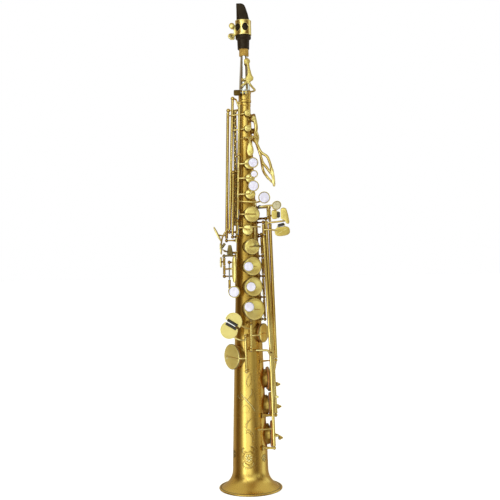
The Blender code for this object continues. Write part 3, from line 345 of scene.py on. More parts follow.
# ---------------------------------------------------------------- mesh stock
def rounded(points, radius, steps=4, closed=False):
    """The same path with its corners turned on a radius."""
    points = [Vector(p) for p in points]
    count = len(points)
    path = []
    for i, corner in enumerate(points):
        if not closed and i in (0, count - 1):
            path.append(corner)
            continue
        before, after = points[i - 1], points[(i + 1) % count]
        back, ahead = before - corner, after - corner
        reach = min(radius, back.length * 0.45, ahead.length * 0.45)
        if reach < 1e-6:
            path.append(corner)
            continue
        start, end = corner + back.normalized() * reach, corner + ahead.normalized() * reach
        for k in range(steps + 1):
            t = k / steps
            path.append(start.lerp(corner, t).lerp(corner.lerp(end, t), t))
    return path


def stand(origin, normal, side=RIGHT):
    """Placing matrix in mm whose local Z is the normal."""
    z = Vector(normal).normalized()
    x = Vector(side) - z * Vector(side).dot(z)
    if x.length < 1e-3:
        x = BACK - z * z.y
    x.normalize()
    return Matrix.Translation(origin) @ Matrix((x, z.cross(x), z)).transposed().to_4x4()


class Piece:
    """One finished piece, gathered from turned, bent and pressed stock."""

    def __init__(self, name, body=None, stands_for=()):
        self.name, self.body = name, body or "body"
        self.stands_for = stands_for
        self.verts, self.faces, self.finish, self.finishes = [], [], [], []

    def add(self, verts, faces, mat):
        if mat not in self.finishes:
            self.finishes.append(mat)
        base = len(self.verts)
        self.verts += [Vector(v) for v in verts]
        self.faces += [tuple(base + i for i in face) for face in faces]
        self.finish += [self.finishes.index(mat)] * len(faces)
        return range(base, len(self.verts))

    def grid(self, rows, mat, around_closed=True, along_closed=False, caps=True):
        """Skin over rings of equal length."""
        n, m = len(rows), len(rows[0])
        verts = [v for row in rows for v in row]
        faces = []
        for i in range(n if along_closed else n - 1):
            for j in range(m if around_closed else m - 1):
                a, b = i * m + j, i * m + (j + 1) % m
                c, d = ((i + 1) % n) * m + (j + 1) % m, ((i + 1) % n) * m + j
                faces.append((a, d, c, b))
        if caps and not along_closed:
            faces.append(tuple(range(m)))
            faces.append(tuple(reversed(range((n - 1) * m, n * m))))
        return self.add(verts, faces, mat)

    def turned(self, profile, origin=Vector(), normal=UP, mat=None, steps=48, closed=False, soft=0.0,
               stretch=(1.0, 1.0), spin=0.0, knurl=None):
        """Turned stock; the profile of (radius, height) runs down its outer side."""
        profile = [Vector((r, z)) for r, z in profile]
        if soft:
            profile = rounded(profile, soft, 3, closed)
        place = stand(Vector(origin), normal) @ Matrix.Rotation(math.radians(spin), 4, "Z")
        rows = []
        for r, z in profile:
            row = []
            for j in range(steps):
                turn = 2 * math.pi * j / steps
                ridge = knurl[1] * (j % knurl[0] < knurl[0] / 2) if knurl and r > knurl[2] else 0.0
                row.append(place @ Vector(((r - ridge) * math.cos(turn) * stretch[0],
                                           (r - ridge) * math.sin(turn) * stretch[1], z)))
            rows.append(row)
        return self.grid(rows, mat, along_closed=closed, caps=not closed)

    def bar(self, start, end, radius, mat, end_radius=None, steps=20, soft=0.25):
        start, end = Vector(start), Vector(end)
        length = (end - start).length
        last = radius if end_radius is None else end_radius
        profile = [(0.001, length), (last, length), (radius, 0), (0.001, 0)]
        return self.turned(profile, start, end - start, mat, steps, soft=min(soft, length * 0.3))

    def bent(self, points, radius, mat, bend=4.0, steps=14, closed=False, end_radius=None, flat=1.0):
        """Bar bent through the points, tapering to its end."""
        path = rounded(points, bend, 5, closed)
        n = len(path)
        last = radius if end_radius is None else end_radius
        side = None
        rows = []
        for i, point in enumerate(path):
            before = path[i - 1] if i or closed else path[0]
            after = path[(i + 1) % n] if i < n - 1 or closed else path[-1]
            along = (after - before).normalized()
            if side is None:
                side = along.orthogonal().normalized()
            side = (side - along * side.dot(along)).normalized()
            cross = along.cross(side)
            r = radius + (last - radius) * i / max(1, n - 1)
            rows.append([point + (side * math.cos(t) + cross * math.sin(t) * flat) * r
                         for t in (2 * math.pi * j / steps for j in range(steps))])
        if not closed:
            for k, (row, point) in enumerate(((rows[0], path[0]), (rows[-1], path[-1]))):
                tip = (path[0] - path[1]) if k == 0 else (path[-1] - path[-2])
                lift = tip.normalized() * radius * 0.25
                ring = [point + lift + (v - point) * 0.7 for v in row]
                rows.insert(0, ring) if k == 0 else rows.append(ring)
        return self.grid([row[::-1] for row in rows], mat, along_closed=closed, caps=not closed)

    def pressed(self, outline, thickness, origin, normal, mat, side=RIGHT, crown=0.5, edge=0.45, dish=0.0):
        """Touch pressed from sheet: an outline with rounded edges and a crowned face."""
        place = stand(Vector(origin), normal, side)
        centre = Vector((sum(p[0] for p in outline), sum(p[1] for p in outline))) / len(outline)
        reach = min((Vector(p) - centre).length for p in outline)
        half = thickness / 2
        inset = min(edge / reach, 0.4)
        levels = [(0.35, -half - dish), (1 - inset, -half), (1 - inset * 0.3, -half + edge * 0.3),
                  (1.0, -half + edge), (1.0, half - edge), (1 - inset * 0.3, half - edge * 0.3),
                  (1 - inset, half), (0.8, half + crown * 0.45), (0.5, half + crown * 0.85),
                  (0.2, half + crown)]
        rows = []
        for share, height in levels:
            row = []
            for p in outline:
                flat = centre + (Vector(p) - centre) * share
                row.append(place @ Vector((flat.x, flat.y, height)))
            rows.append(row)
        return self.grid([row[::-1] for row in rows], mat)

    def ball(self, centre, radius, mat, normal=UP, steps=28):
        arc = [(max(0.001, radius * math.sin(t)), radius * math.cos(t))
               for t in (math.pi * i / 16 for i in range(17))]
        return self.turned(arc, centre, normal, mat, steps)

    def swing(self, line, angle):
        """Turn everything gathered so far about a rod."""
        pivot = Matrix.Translation(line[1])
        turn = pivot @ Matrix.Rotation(math.radians(angle), 4, rod_axis(line)) @ pivot.inverted()
        self.verts = [turn @ v for v in self.verts]

    def done(self, sharp=38.0):
        """Make the object, let it ride on its body and stand for its CAD nodes."""
        mesh = bpy.data.meshes.new(self.name)
        mesh.from_pydata([ROOT @ v for v in self.verts], [], self.faces)
        for mat in self.finishes:
            mesh.materials.append(mat)
        mesh.polygons.foreach_set("material_index", self.finish)
        shape = bmesh.new()
        shape.from_mesh(mesh)
        bmesh.ops.remove_doubles(shape, verts=shape.verts, dist=0.000002)
        bmesh.ops.recalc_face_normals(shape, faces=shape.faces)
        shape.to_mesh(mesh)
        shape.free()
        mesh.shade_smooth()
        mesh.set_sharp_from_angle(angle=math.radians(sharp))
        item = bpy.data.objects.new(self.name, mesh)
        bpy.context.scene.collection.objects.link(item)
        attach(item, self.body)
        if self.stands_for:
            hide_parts(*self.stands_for)
        return item


# ---------------------------------------------------------------- keywork stock
def oval(width, height, count=44, power=2.0):
    points = []
    for i in range(count):
        turn = 2 * math.pi * i / count
        c, s = math.cos(turn), math.sin(turn)
        points.append((width / 2 * math.copysign(abs(c) ** (2 / power), c),
                       height / 2 * math.copysign(abs(s) ** (2 / power), s)))
    return points


def leaf(width, length, count=40):
    """Teardrop outline with its point upward."""
    points = []
    for i in range(count):
        turn = 2 * math.pi * i / count
        taper = math.cos(turn / 2) ** 2 if i else 1.0
        points.append((width * 0.65 * math.sin(turn) * (1 - 0.55 * taper), length / 2 * math.cos(turn)))
    return points[::-1]


def hinge(piece, line, low, high):
    """Hinge tube with a collar at each end."""
    radius = TUBE_SIZES.get(high - low > 80 and line[0].z, TUBE_R)
    foot, top = on_rod(line, low), on_rod(line, high)
    length = (top - foot).length
    collar = radius + 0.22
    profile = [(0.9, length), (collar, length), (collar, length - 1.5), (radius, length - 1.8),
               (radius, 1.8), (collar, 1.5), (collar, 0), (0.9, 0)]
    piece.turned(profile, foot, top - foot, TUBES, 24, soft=0.12)


def cup(piece, hole, thickness=4.0, crown=0.9):
    """Pressed cup with its leather pad and the pad's disc, closed on its chimney."""
    angle, z, r = HOLES[hole]
    facing = outward(angle)
    seat = facing * (body_radius(z) + CHIMNEY_RISE + PAD_LIFT)
    seat.z = z
    t = thickness
    lip = min(1.7, t - 1.9)
    shell = [(0.001, t + crown), (0.4 * r, t + 0.85 * crown), (0.78 * r, t + 0.36 * crown),
             (0.93 * r, t - 0.15), (0.99 * r, t - 0.9), (r, t - 1.4), (r, lip), (r - 0.4, lip),
             (r - 0.4, lip + 0.6), (0.001, lip + 0.6)]
    piece.turned(shell, seat, facing, KEYS, 72, soft=0.25)
    # thin dark ring round the rim: painted shade, the dark outline of the cup's edge
    piece.turned([(0.955 * r, t - 0.42), (r + 0.14, t - 1.1), (r + 0.14, lip - 0.1), (0.955 * r, lip - 0.1)], seat,
                 facing, SHADOWED, 72, closed=True)
    mark = CHIMNEY_SHARE * r
    pad = [(0.001, lip + 0.5), (r - 0.45, lip + 0.5), (r - 0.25, lip - 0.2), (r - 0.25, 0.5), (r - 0.8, 0.1),
           (mark + 0.5, 0.05),
           (mark, 0.22), (mark - 0.6, 0.05), (0.001, 0.05)]
    piece.turned(pad, seat, facing, LEATHER, 48, soft=0.2)
    disc = [(0.001, 0.3), (0.46 * r, 0.3), (0.44 * r, -0.02), (0.3 * r, -0.12), (0.001, -0.15)]
    piece.turned(disc, seat, facing, POSTS, 32)


def pearl(piece, name, centre, normal, radius, stretch=1.0, spin=0.0, swing=None, mat=None):
    """Brass holder on the key, and the pearl set in it behind a fine ring of painted shade."""
    r = radius
    holder = [(0.001, 0.2), (r + 0.12, 0.2), (r + 0.14, 1.15), (r + 0.5, 1.3), (r + 0.95, 0.8),
              (r + 0.95, -0.7), (0.7 * r, -1.4), (0.001, -1.5)]
    piece.turned(holder, centre, normal, KEYS, 48, soft=0.15, stretch=(1, stretch), spin=spin)
    # dark ring of painted shade, the shadow in the groove round the pearl
    seam = [(r - 0.3, 0.9), (r + 0.16, 0.9), (r + 0.16, 0.3), (r - 0.3, 0.3)]
    piece.turned(seam, centre, normal, PAINTED_SHADOW, 48, closed=True, stretch=(1, stretch), spin=spin)
    stone = [(0.001, 1.75), (0.35 * r, 1.7), (0.66 * r, 1.56), (0.86 * r, 1.34), (r - 0.3, 1.0), (r - 0.2, 0.3),
             (0.001, 0.3)]
    gem = Piece("looks_pearl_" + name, piece.body, ("pearl_" + name,))
    gem.turned(stone, centre, normal, mat or NACRE, 48, soft=0.3, stretch=(1, stretch), spin=spin)
    if swing:
        gem.swing(*swing)
    gem.done(60)


def post(piece, rib_angle, line, z, radius=POST_R, ball_radius=BALL_R, screw=0):
    """Turned post from a rib to a ball head; screw +1 or -1 shows a pivot screw above or below."""
    head = on_rod(line, z)
    foot = surface(rib_angle, z, 0.9)
    pillar(piece, foot, head, radius, ball_radius)
    axis = rod_axis(line)
    piece.ball(head, ball_radius, POSTS, axis)
    for sign in (1, -1):
        face = head + axis * sign * ball_radius * 0.86
        piece.turned([(0.001, 0.5), (1.15, 0.45), (1.35, 0.1), (1.35, -0.3), (0.001, -0.3)], face,
                     axis * sign, STEEL if sign == screw else POSTS, 20, soft=0.1)


def pillar(piece, foot, head, radius, ball_radius=0.0):
    length = (head - foot).length
    top = max(length - ball_radius * 0.5, length * 0.6)
    profile = [(0.001, top), (radius * 0.95, top), (radius * 0.78, top * 0.62), (radius, top * 0.3),
               (radius * 1.35, min(1.3, top * 0.25)), (radius * 1.8, 0.5), (radius * 1.9, -0.3), (0.001, -0.3)]
    piece.turned(profile, foot, head - foot, POSTS, 22, soft=0.25)


def rib_strip(piece, angle, low, high, width=4.6, height=1.35, mat=None):
    """Rib that follows the round of the body, with rounded edges and ends."""
    rows = []
    steps = max(8, int((high - low) / 8))
    for i in range(steps + 1):
        t = i / steps
        ease = min(t, 1 - t) * (high - low)
        share = 0.55 + 0.45 * min(1.0, ease / 2.2) ** 0.5
        z = low + (high - low) * t
        r = body_radius(z)
        row = []
        for across, lift in ((-1, -0.2), (-1, 0.7), (-0.86, 1.0), (-0.45, 1.0), (0, 1.0), (0.45, 1.0), (0.86, 1.0),
                             (1, 0.7), (1, -0.2), (0, -0.2)):
            turn = math.radians(angle) + across * width / 2 * share / r
            point = Vector((math.sin(turn), -math.cos(turn), 0)) * (r + height * lift)
            point.z = z
            row.append(point)
        rows.append(row)
    piece.grid([row[::-1] for row in rows], mat or POSTS)


def long_rod(name, start, end, radius):
    piece = Piece(name)
    piece.bar(start, end, radius, TUBES, steps=24)
    for point, aim in ((start, 1), (end, -1)):
        piece.ball(Vector(start if aim > 0 else end), radius * 1.12, POSTS)
    piece.done()


def steel_rod(piece, line, low=None, high=None, radius=0.95):
    """The hinge rod itself, seen where a tube stops short of its post."""
    top = on_rod(line, high if high else line[0].z)
    foot = on_rod(line, low if low else line[1].z)
    piece.bar(foot, top, radius, STEEL, steps=12)


def roller(piece, start, end, radius=1.7, ribs=0):
    """Little-finger roller on its pin, plain or ribbed."""
    start, end = Vector(start), Vector(end)
    length = (end - start).length
    profile = [(0.5, length), (radius * 0.82, length), (radius, length - 0.5)]
    for i in range(ribs):
        z = length - 0.9 - (length - 1.8) * (i + 0.5) / ribs
        half = (length - 1.8) / ribs / 2
        profile += [(radius, z + half * 0.6), (radius * 0.84, z + half * 0.35), (radius * 0.84, z - half * 0.35),
                    (radius, z - half * 0.6)]
    profile += [(radius, 0.5), (radius * 0.82, 0), (0.5, 0)]
    piece.turned(profile, start, end - start, ROLLER, 28)
    piece.bar(start - (end - start) * 0.06, end + (end - start) * 0.06, 0.6, KEYS, steps=12)


# ---------------------------------------------------------------- body and bell
def hole_cutter():
    """All tone-hole bores as one cutter."""
    tool = Piece("tone_holes")
    for angle, z, r in HOLES.values():
        facing = outward(angle)
        inner = CHIMNEY_SHARE * r - 0.9
        reach = body_radius(z)
        start, end = facing * reach * 0.45, facing * (reach + 6)
        start.z = end.z = z
        tool.turned([(0.001, (end - start).length), (inner, (end - start).length), (inner, 0), (0.001, 0)],
                    start, facing, PAINTED_SHADOW, 48)
    mesh = bpy.data.meshes.new("tone_holes")
    mesh.from_pydata([ROOT @ v for v in tool.verts], [], tool.faces)
    shape = bmesh.new()
    shape.from_mesh(mesh)
    bmesh.ops.recalc_face_normals(shape, faces=shape.faces)
    shape.to_mesh(mesh)
    shape.free()
    item = bpy.data.objects.new("tone_holes", mesh)
    bpy.context.scene.collection.objects.link(item)
    return item


def cut(item, tool):
    """Take the tool out of a made piece, for good."""
    step = item.modifiers.new("Cut", "BOOLEAN")
    step.operation = "DIFFERENCE"
    step.solver = "EXACT"
    step.object = tool
    bpy.context.view_layer.update()
    mesh = bpy.data.meshes.new_from_object(item.evaluated_get(bpy.context.evaluated_depsgraph_get()))
    item.modifiers.clear()
    item.data = mesh
    mesh.shade_smooth()
    mesh.set_sharp_from_angle(angle=math.radians(38))
    bpy.data.objects.remove(tool, do_unlink=True)


def build_body():
    piece = Piece("looks_body_tube", "body", ("body_tube",))
    heights = [BODY_TOP_Z - (BODY_TOP_Z - BODY_FOOT_Z) * i / 60 for i in range(61)]
    outer = [(body_radius(z), z) for z in heights]
    inner = [(r - WALL, z) for r, z in outer]
    piece.turned(outer + inner[::-1], mat=SATIN, steps=144, closed=True)
    cut(piece.done(30), hole_cutter())
    build_chimneys()
    build_bands()


def build_chimneys():
    """Drawn tone holes: each rises from a soft foot on the tube to a rolled lip, in dark brass as painted shade."""
    piece = Piece("looks_tone_hole_chimneys")
    for angle, z, cup_r in HOLES.values():
        body = body_radius(z)
        facing, side = outward(angle), around(angle)
        r, wall, top = CHIMNEY_SHARE * cup_r, 0.9, body + CHIMNEY_RISE
        rows = []
        for out, lift in ((r - wall, None), (r - wall, top - 0.3), (r - wall + 0.25, top), (r - 0.1, top),
                          (r + 0.28, top - 0.3), (r + 0.28, top - 0.7), (r, top - 1.0), (r, 0.9),
                          (r + 0.3, 0.35), (r + 0.9, 0.02)):
            row = []
            for j in range(64):
                turn = 2 * math.pi * j / 64
                across, along = out * math.cos(turn), out * math.sin(turn)
                local = body_radius(z + along)
                skin = math.sqrt(max(1.0, local * local - across * across))
                if lift is None:
                    height = skin - 0.5
                elif lift < 5:
                    height = min(skin + lift, top - 1.0)
                else:
                    height = lift
                point = facing * height + side * across
                point.z = z + along
                row.append(point)
            rows.append(row)
        piece.grid(rows, CHIMNEYS, caps=False)
    piece.done(50)


def build_bands():
    """Bell joint bands and guard ring turned into the tube."""
    piece = Piece("looks_bell_bands")
    for z, width, lift in ((112.0, 0.9, 0.16), (104.5, 0.7, 0.12), (550.0, 2.4, 0.5)):
        r = body_radius(z)
        piece.turned([(r - 0.2, z + width), (r + lift, z + width * 0.8), (r + lift, z - width * 0.8),
                      (r - 0.2, z - width)], mat=SATIN, steps=120, closed=True, soft=0.1)
    piece.done()


def build_bell():
    piece = Piece("looks_bell_flare", "body", ("bell_flare",))
    heights = [BODY_FOOT_Z * (1 - i / 30) ** 1.5 + RIM_RADIUS for i in range(31)]
    outer = [(flare_radius(max(z - RIM_RADIUS, 0)), z) for z in heights if z > 2.5]
    outer[0] = (body_radius(BODY_FOOT_Z), BODY_FOOT_Z)
    inner = [(r - WALL, z) for r, z in outer]
    centre_r, centre_z = 43.98, 1.45
    bead = [(centre_r + 1.4 * math.cos(math.radians(a)), centre_z + 1.4 * math.sin(math.radians(a)))
            for a in range(140, -90, -15)]
    foot = [(centre_r - 0.2, 0.02), (centre_r - 1.3, 0.4), (41.6, 1.7)]
    groove = [(42.35, 2.35), (42.75, 2.05)]
    piece.turned(outer + groove + bead + foot + inner[::-1], mat=SATIN, steps=160, closed=True)
    # dark ring inside the rim bead: painted shade
    piece.turned([(42.2, 3.1), (43.0, 3.3), (43.5, 2.9), (43.3, 2.3), (42.4, 2.2)], mat=SHADOWED, steps=160, closed=True)
    piece.done(50)


# ---------------------------------------------------------------- engraving
def smooth_path(points, steps=8):
    """Catmull-Rom path through flat points."""
    points = [Vector(p) for p in points]
    full = [points[0] * 2 - points[1], *points, points[-1] * 2 - points[-2]]
    path = []
    for a, b, c, d in zip(full, full[1:], full[2:], full[3:]):
        for k in range(steps):
            t = k / steps
            path.append(0.5 * ((2 * b) + (c - a) * t + (2 * a - 5 * b + 4 * c - d) * t * t
                               + (3 * b - a - 3 * c + d) * t ** 3))
    path.append(points[-1])
    return path


def engrave(piece, points, centre, width=0.55, mat=None, lift=0.18):
    """A tapering cut on the tube: points are mm across and mm up from a centre (angle, height)."""
    path = smooth_path(points)
    rows = []
    for i, point in enumerate(path):
        along = (path[min(i + 1, len(path) - 1)] - path[max(i - 1, 0)]).normalized()
        across = Vector((-along.y, along.x))
        half = width * 0.62 * (0.4 + 0.6 * math.sin(math.pi * i / (len(path) - 1)) ** 0.5)
        row = []
        for share in (-1, 0, 1):
            flat = point + across * half * share
            z = centre[1] + flat.y
            r = skin_radius(z)
            turn = math.radians(centre[0]) + flat.x / r
            skin = Vector((math.sin(turn), -math.cos(turn), 0)) * (r + (lift if share == 0 else lift * 0.6))
            skin.z = z
            row.append(skin)
        rows.append(row)
    piece.grid(rows, mat or ENGRAVED, around_closed=False, caps=False)


def curl(x, y, radius, start, turns, grow=0.35, count=12):
    """Spiral scroll end."""
    points = []
    for i in range(count + 1):
        t = i / count
        turn = math.radians(start) + 2 * math.pi * turns * t
        r = radius * (1 - t) + radius * grow * t
        points.append((x + r * math.cos(turn), y + r * math.sin(turn)))
    return points


def rosette(piece, centre, size, petals=7):
    """Flower with doubled petals and a small hatched heart."""
    for i in range(petals):
        turn = 2 * math.pi * i / petals + 0.3
        left, right, tip = turn - 0.42, turn + 0.42, turn
        points = [(size * 0.34 * math.cos(left), size * 0.34 * math.sin(left)),
                  (size * 0.82 * math.cos(left + 0.06), size * 0.82 * math.sin(left + 0.06)),
                  (size * 1.02 * math.cos(tip), size * 1.02 * math.sin(tip)),
                  (size * 0.82 * math.cos(right - 0.06), size * 0.82 * math.sin(right - 0.06)),
                  (size * 0.34 * math.cos(right), size * 0.34 * math.sin(right))]
        engrave(piece, points, centre, 0.5)
        for lean in (-0.14, 0.0, 0.14):
            engrave(piece, [(size * 0.4 * math.cos(turn + lean), size * 0.4 * math.sin(turn + lean)),
                            (size * 0.78 * math.cos(turn + lean), size * 0.78 * math.sin(turn + lean))],
                    centre, 0.32, CUT_BRIGHT)
    engrave(piece, curl(0, 0, size * 0.3, 0, 1.0, 1.0), centre, 0.5)


def frond(piece, spine, centre, leaves=6, length=3.4, lean=1):
    """Curved stem with cut leaflets along one side and hatching along the other."""
    engrave(piece, spine, centre, 0.6)
    path = smooth_path(spine)
    for i in range(1, leaves + 1):
        k = int(i * (len(path) - 2) / (leaves + 1))
        along = (path[k + 1] - path[k]).normalized()
        across = Vector((-along.y, along.x)) * lean
        reach = length * math.sin(math.pi * i / (leaves + 1)) ** 0.6
        base = path[k]
        engrave(piece, [base, base + across * reach * 0.6 + along * reach * 0.35,
                        base + across * reach * 0.75 + along * reach], centre, 0.42)
        engrave(piece, [base - across * 0.3, base - across * reach * 0.35 + along * reach * 0.5],
                centre, 0.3, CUT_BRIGHT)


def ground(piece, centre, inner, outer, strokes):
    """Short hatching round a flower: the sunk ground it stands on."""
    for i in range(strokes):
        turn = 2 * math.pi * i / strokes
        reach = inner + (outer - inner) * (0.5 + 0.5 * math.sin(5 * turn) * math.cos(2 * turn))
        points = [(share * math.cos(turn + 0.12 * k), 1.25 * share * math.sin(turn + 0.12 * k))
                  for k, share in enumerate((inner, (inner + reach) / 2, reach))]
        engrave(piece, points, centre, 0.45)


def build_engraving():
    """Flowers and scrolls cut round the bell and up its front."""
    piece = Piece("looks_engraving")
    rosette(piece, (-5, 49), 6.2)
    ground(piece, (-5, 49), 6.6, 10.4, 54)
    rosette(piece, (-68, 52), 5.4)
    rosette(piece, (52, 47), 5.4)
    front = (-5, 49)
    frond(piece, [(-6, -4), (-8.5, -9), (-4, -13.5), (2, -12.5)], front, 7, 3.0, -1)
    frond(piece, [(5.5, -4), (7.5, -8), (4, -12), (-1, -15)], front, 6, 2.8, 1)
    frond(piece, [(-5, 5), (-9, 8), (-9.5, 12.5), (-5, 14)], front, 6, 2.6, 1)
    frond(piece, [(3, 6), (8, 10), (6, 15.5), (1, 17)], front, 6, 2.8, 1)
    engrave(piece, curl(4.5, 13.0, 3.0, -90, 1.1, 0.25), front, 0.5)
    engrave(piece, curl(-6.2, 10.6, 2.4, 90, 1.1, 0.25), front, 0.5)
    scroll = (0, 84)
    frond(piece, [(2, -16), (5, -8), (3, 0), (-3.5, 5), (-5.5, 11), (-1, 18), (5, 21)], scroll, 9, 3.6, 1)
    engrave(piece, [(-6, -1), (-2.5, 1), (1.5, -3), (3.4, -9), (2.6, -15)], scroll, 0.6)
    engrave(piece, [(-6, -1), (-4, 4), (0, 4.5), (2.5, 1)], scroll, 0.5)
    engrave(piece, [(5, 21), (1, 19), (-3, 13.5), (-3.8, 8)], scroll, 0.45)
    crossing = (-6, 128)
    for offset in (0, 1.3, 2.6):
        engrave(piece, [(-13 + offset, 12), (-4 + offset, 3), (5 + offset, -7), (9 + offset, -14)], crossing, 0.5,
                CUT_BRIGHT if offset == 1.3 else None)
    frond(piece, [(-3, 1), (2, 6), (6, 12), (5.5, 19)], crossing, 7, 3.4, -1)
    frond(piece, [(-5, 4), (-10, 2), (-15, 5), (-17, 11)], crossing, 6, 3.0, 1)
    engrave(piece, curl(-10, -4, 3.6, 40, 1.2, 0.2), crossing, 0.5)
    engrave(piece, [(-7, -8), (-3, -5), (2, -9), (1, -14)], crossing, 0.5)
    top = (-2, 158)
    frond(piece, [(-1, -10), (-3.5, -3), (-1.5, 4), (2.5, 10)], top, 6, 2.4, -1)
    engrave(piece, [(2.5, 10), (4.2, 2), (2.5, -5), (-1, -10)], top, 0.5)
    for angle in (-112, 150, 100):
        frond(piece, [(-4, -12), (3, -6), (-2, 2), (3, 11)], (angle, 50), 7, 3.0, 1)
    piece.done(80)


# ---------------------------------------------------------------- neck and mouthpiece
def build_neck():
    piece = Piece("looks_neck_receiver", "body", ("neck_receiver",))
    piece.turned([(9.1, 569.0), (9.35, 568.6), (9.35, 566.6), (9.0, 566.2), (8.8, 557.5), (9.3, 556.4),
                  (9.3, 554.2), (9.0, 553.2), (7.2, 553.2), (7.2, 560.0), (8.3, 560.4), (8.3, 569.0)],
                 mat=SATIN, steps=72, closed=True, soft=0.2)
    for x in (-2.3, 2.3):
        piece.pressed(oval(5.8, 6.0, 28, 4.0), 2.2, (x, -10.8, CLAMP_Z), RIGHT, POSTS, BACK, 0.1, 0.35)
    piece.done()
    knob = Piece("looks_neck_clamp_screw", "neck_clamp_screw", ("neck_clamp_screw",))
    knob.turned([(0.001, 9.6), (2.6, 9.6), (3.7, 9.0), (4.1, 8.3), (4.1, 1.3), (3.7, 0.6), (2.2, 0.1),
                 (0.001, 0.1)], (-5.8, CLAMP_Y, CLAMP_Z), -RIGHT, KNURLED, 72, knurl=(3, 0.3, 3.9))
    knob.bar((-8, CLAMP_Y, CLAMP_Z), (4.6, CLAMP_Y, CLAMP_Z), 1.05, STEEL, steps=16)
    knob.done()
    piece = Piece("looks_neck_tube", "body", ("neck_tube",))
    piece.turned([(5.1, 640.0), (5.2, 618.5), (6.0, 606), (7.1, 588), (7.9, 570.0), (7.9, 562.0), (7.0, 562.0),
                  (7.0, 570), (4.3, 619), (4.2, 640.0)], mat=SILVER, steps=72, closed=True)
    piece.turned([(8.25, 571.6), (8.45, 570.9), (8.45, 569.6), (7.6, 569.4), (7.6, 571.8)], mat=SILVER, steps=72,
                 closed=True, soft=0.15)
    for x in (-2.6, 8.6):
        pillar(piece, Vector((x, -7.0, 585.0)), Vector((x, -12.0, 585.0)), 1.2)
        piece.ball((x, -12.0, 585.0), 1.9, POSTS, RIGHT)
    piece.pressed(oval(12.6, 4.0, 36, 3.0), 1.8, (3.0, -7.2, 585.0), -BACK, POSTS, crown=0.1, edge=0.5)
    piece.bar((2.4, -2.5, 611.0), (3.4, -8.2, 611.0), 1.8, SILVER, steps=24)
    piece.done()
    piece = Piece("looks_neck_cork", "body", ("neck_cork",))
    piece.turned([(6.45, 640.0), (6.75, 630.0), (6.95, 621.0), (6.7, 620.2), (5.25, 620.2), (5.2, 640.0)],
                 mat=CORK, steps=64, closed=True, soft=0.2)
    piece.done()
    build_octave_key()


def build_octave_key():
    """Neck octave key: cup, leaf-shaped stem and the two arms that ring the neck."""
    piece = Piece("looks_neck_octave_key", "neck_octave_key", ("neck_octave_key",))
    piece.bar((-1.0, -12.0, 585.0), (7.0, -12.0, 585.0), 1.6, TUBES, steps=24)
    facing = Vector((0.17, -1, 0))
    piece.turned([(0.001, 3.3), (2.4, 3.2), (3.9, 2.8), (4.6, 1.9), (4.6, 0.4), (4.2, 0.2), (0.001, 0.2)],
                 (3.8, -8.6, 611.0), facing, LEVERS, 40, soft=0.25)
    piece.turned([(0.001, 0.6), (3.9, 0.6), (3.9, 0.0), (0.001, 0.0)], (3.8, -8.6, 611.0), facing, LEATHER, 32)
    spine = rounded([(4.4, -11.2, 611.5), (6.0, -12.6, 604), (7.2, -13.8, 595), (7.9, -14.6, 587), (7.2, -14.2, 582),
                     (5.8, -13.0, 579)], 5, 5)
    widths = ((0, 2.2), (0.2, 1.8), (0.4, 2.6), (0.66, 5.4), (0.78, 5.1), (0.92, 2.6), (1, 1.9))
    rows = []
    for i, point in enumerate(spine):
        t = i / (len(spine) - 1)
        for (t0, w0), (t1, w1) in zip(widths, widths[1:]):
            if t0 <= t <= t1:
                half = w0 + (w1 - w0) * (0.5 - 0.5 * math.cos(math.pi * (t - t0) / (t1 - t0)))
        rows.append([point + Vector((half * math.cos(a), 0.85 * math.sin(a), 0))
                     for a in (2 * math.pi * j / 20 for j in range(20))])
    piece.grid(rows, LEVERS)
    piece.bent([(5.0, -12.6, 583), (9.0, -12.5, 576), (14.2, -7.0, 571.4), (15.2, 0, 571.2), (12.0, 8.5, 571.2),
                (3.0, 12.5, 571.2)], 1.65, LEVERS, 4, 16, end_radius=1.2)
    piece.bent([(5.0, -12.6, 583), (0.0, -13.4, 578.5), (-4.0, -12.2, 576), (-6.0, -9.6, 574.5)], 1.6, LEVERS, 4, 16,
               end_radius=1.2)
    piece.done()


def between(table, x):
    """Height of a polyline of (x, y) at x."""
    for (x0, y0), (x1, y1) in zip(table, table[1:]):
        if x0 <= x <= x1:
            return y0 + (y1 - y0) * (x - x0) / (x1 - x0)
    return table[0][1] if x < table[0][0] else table[-1][1]


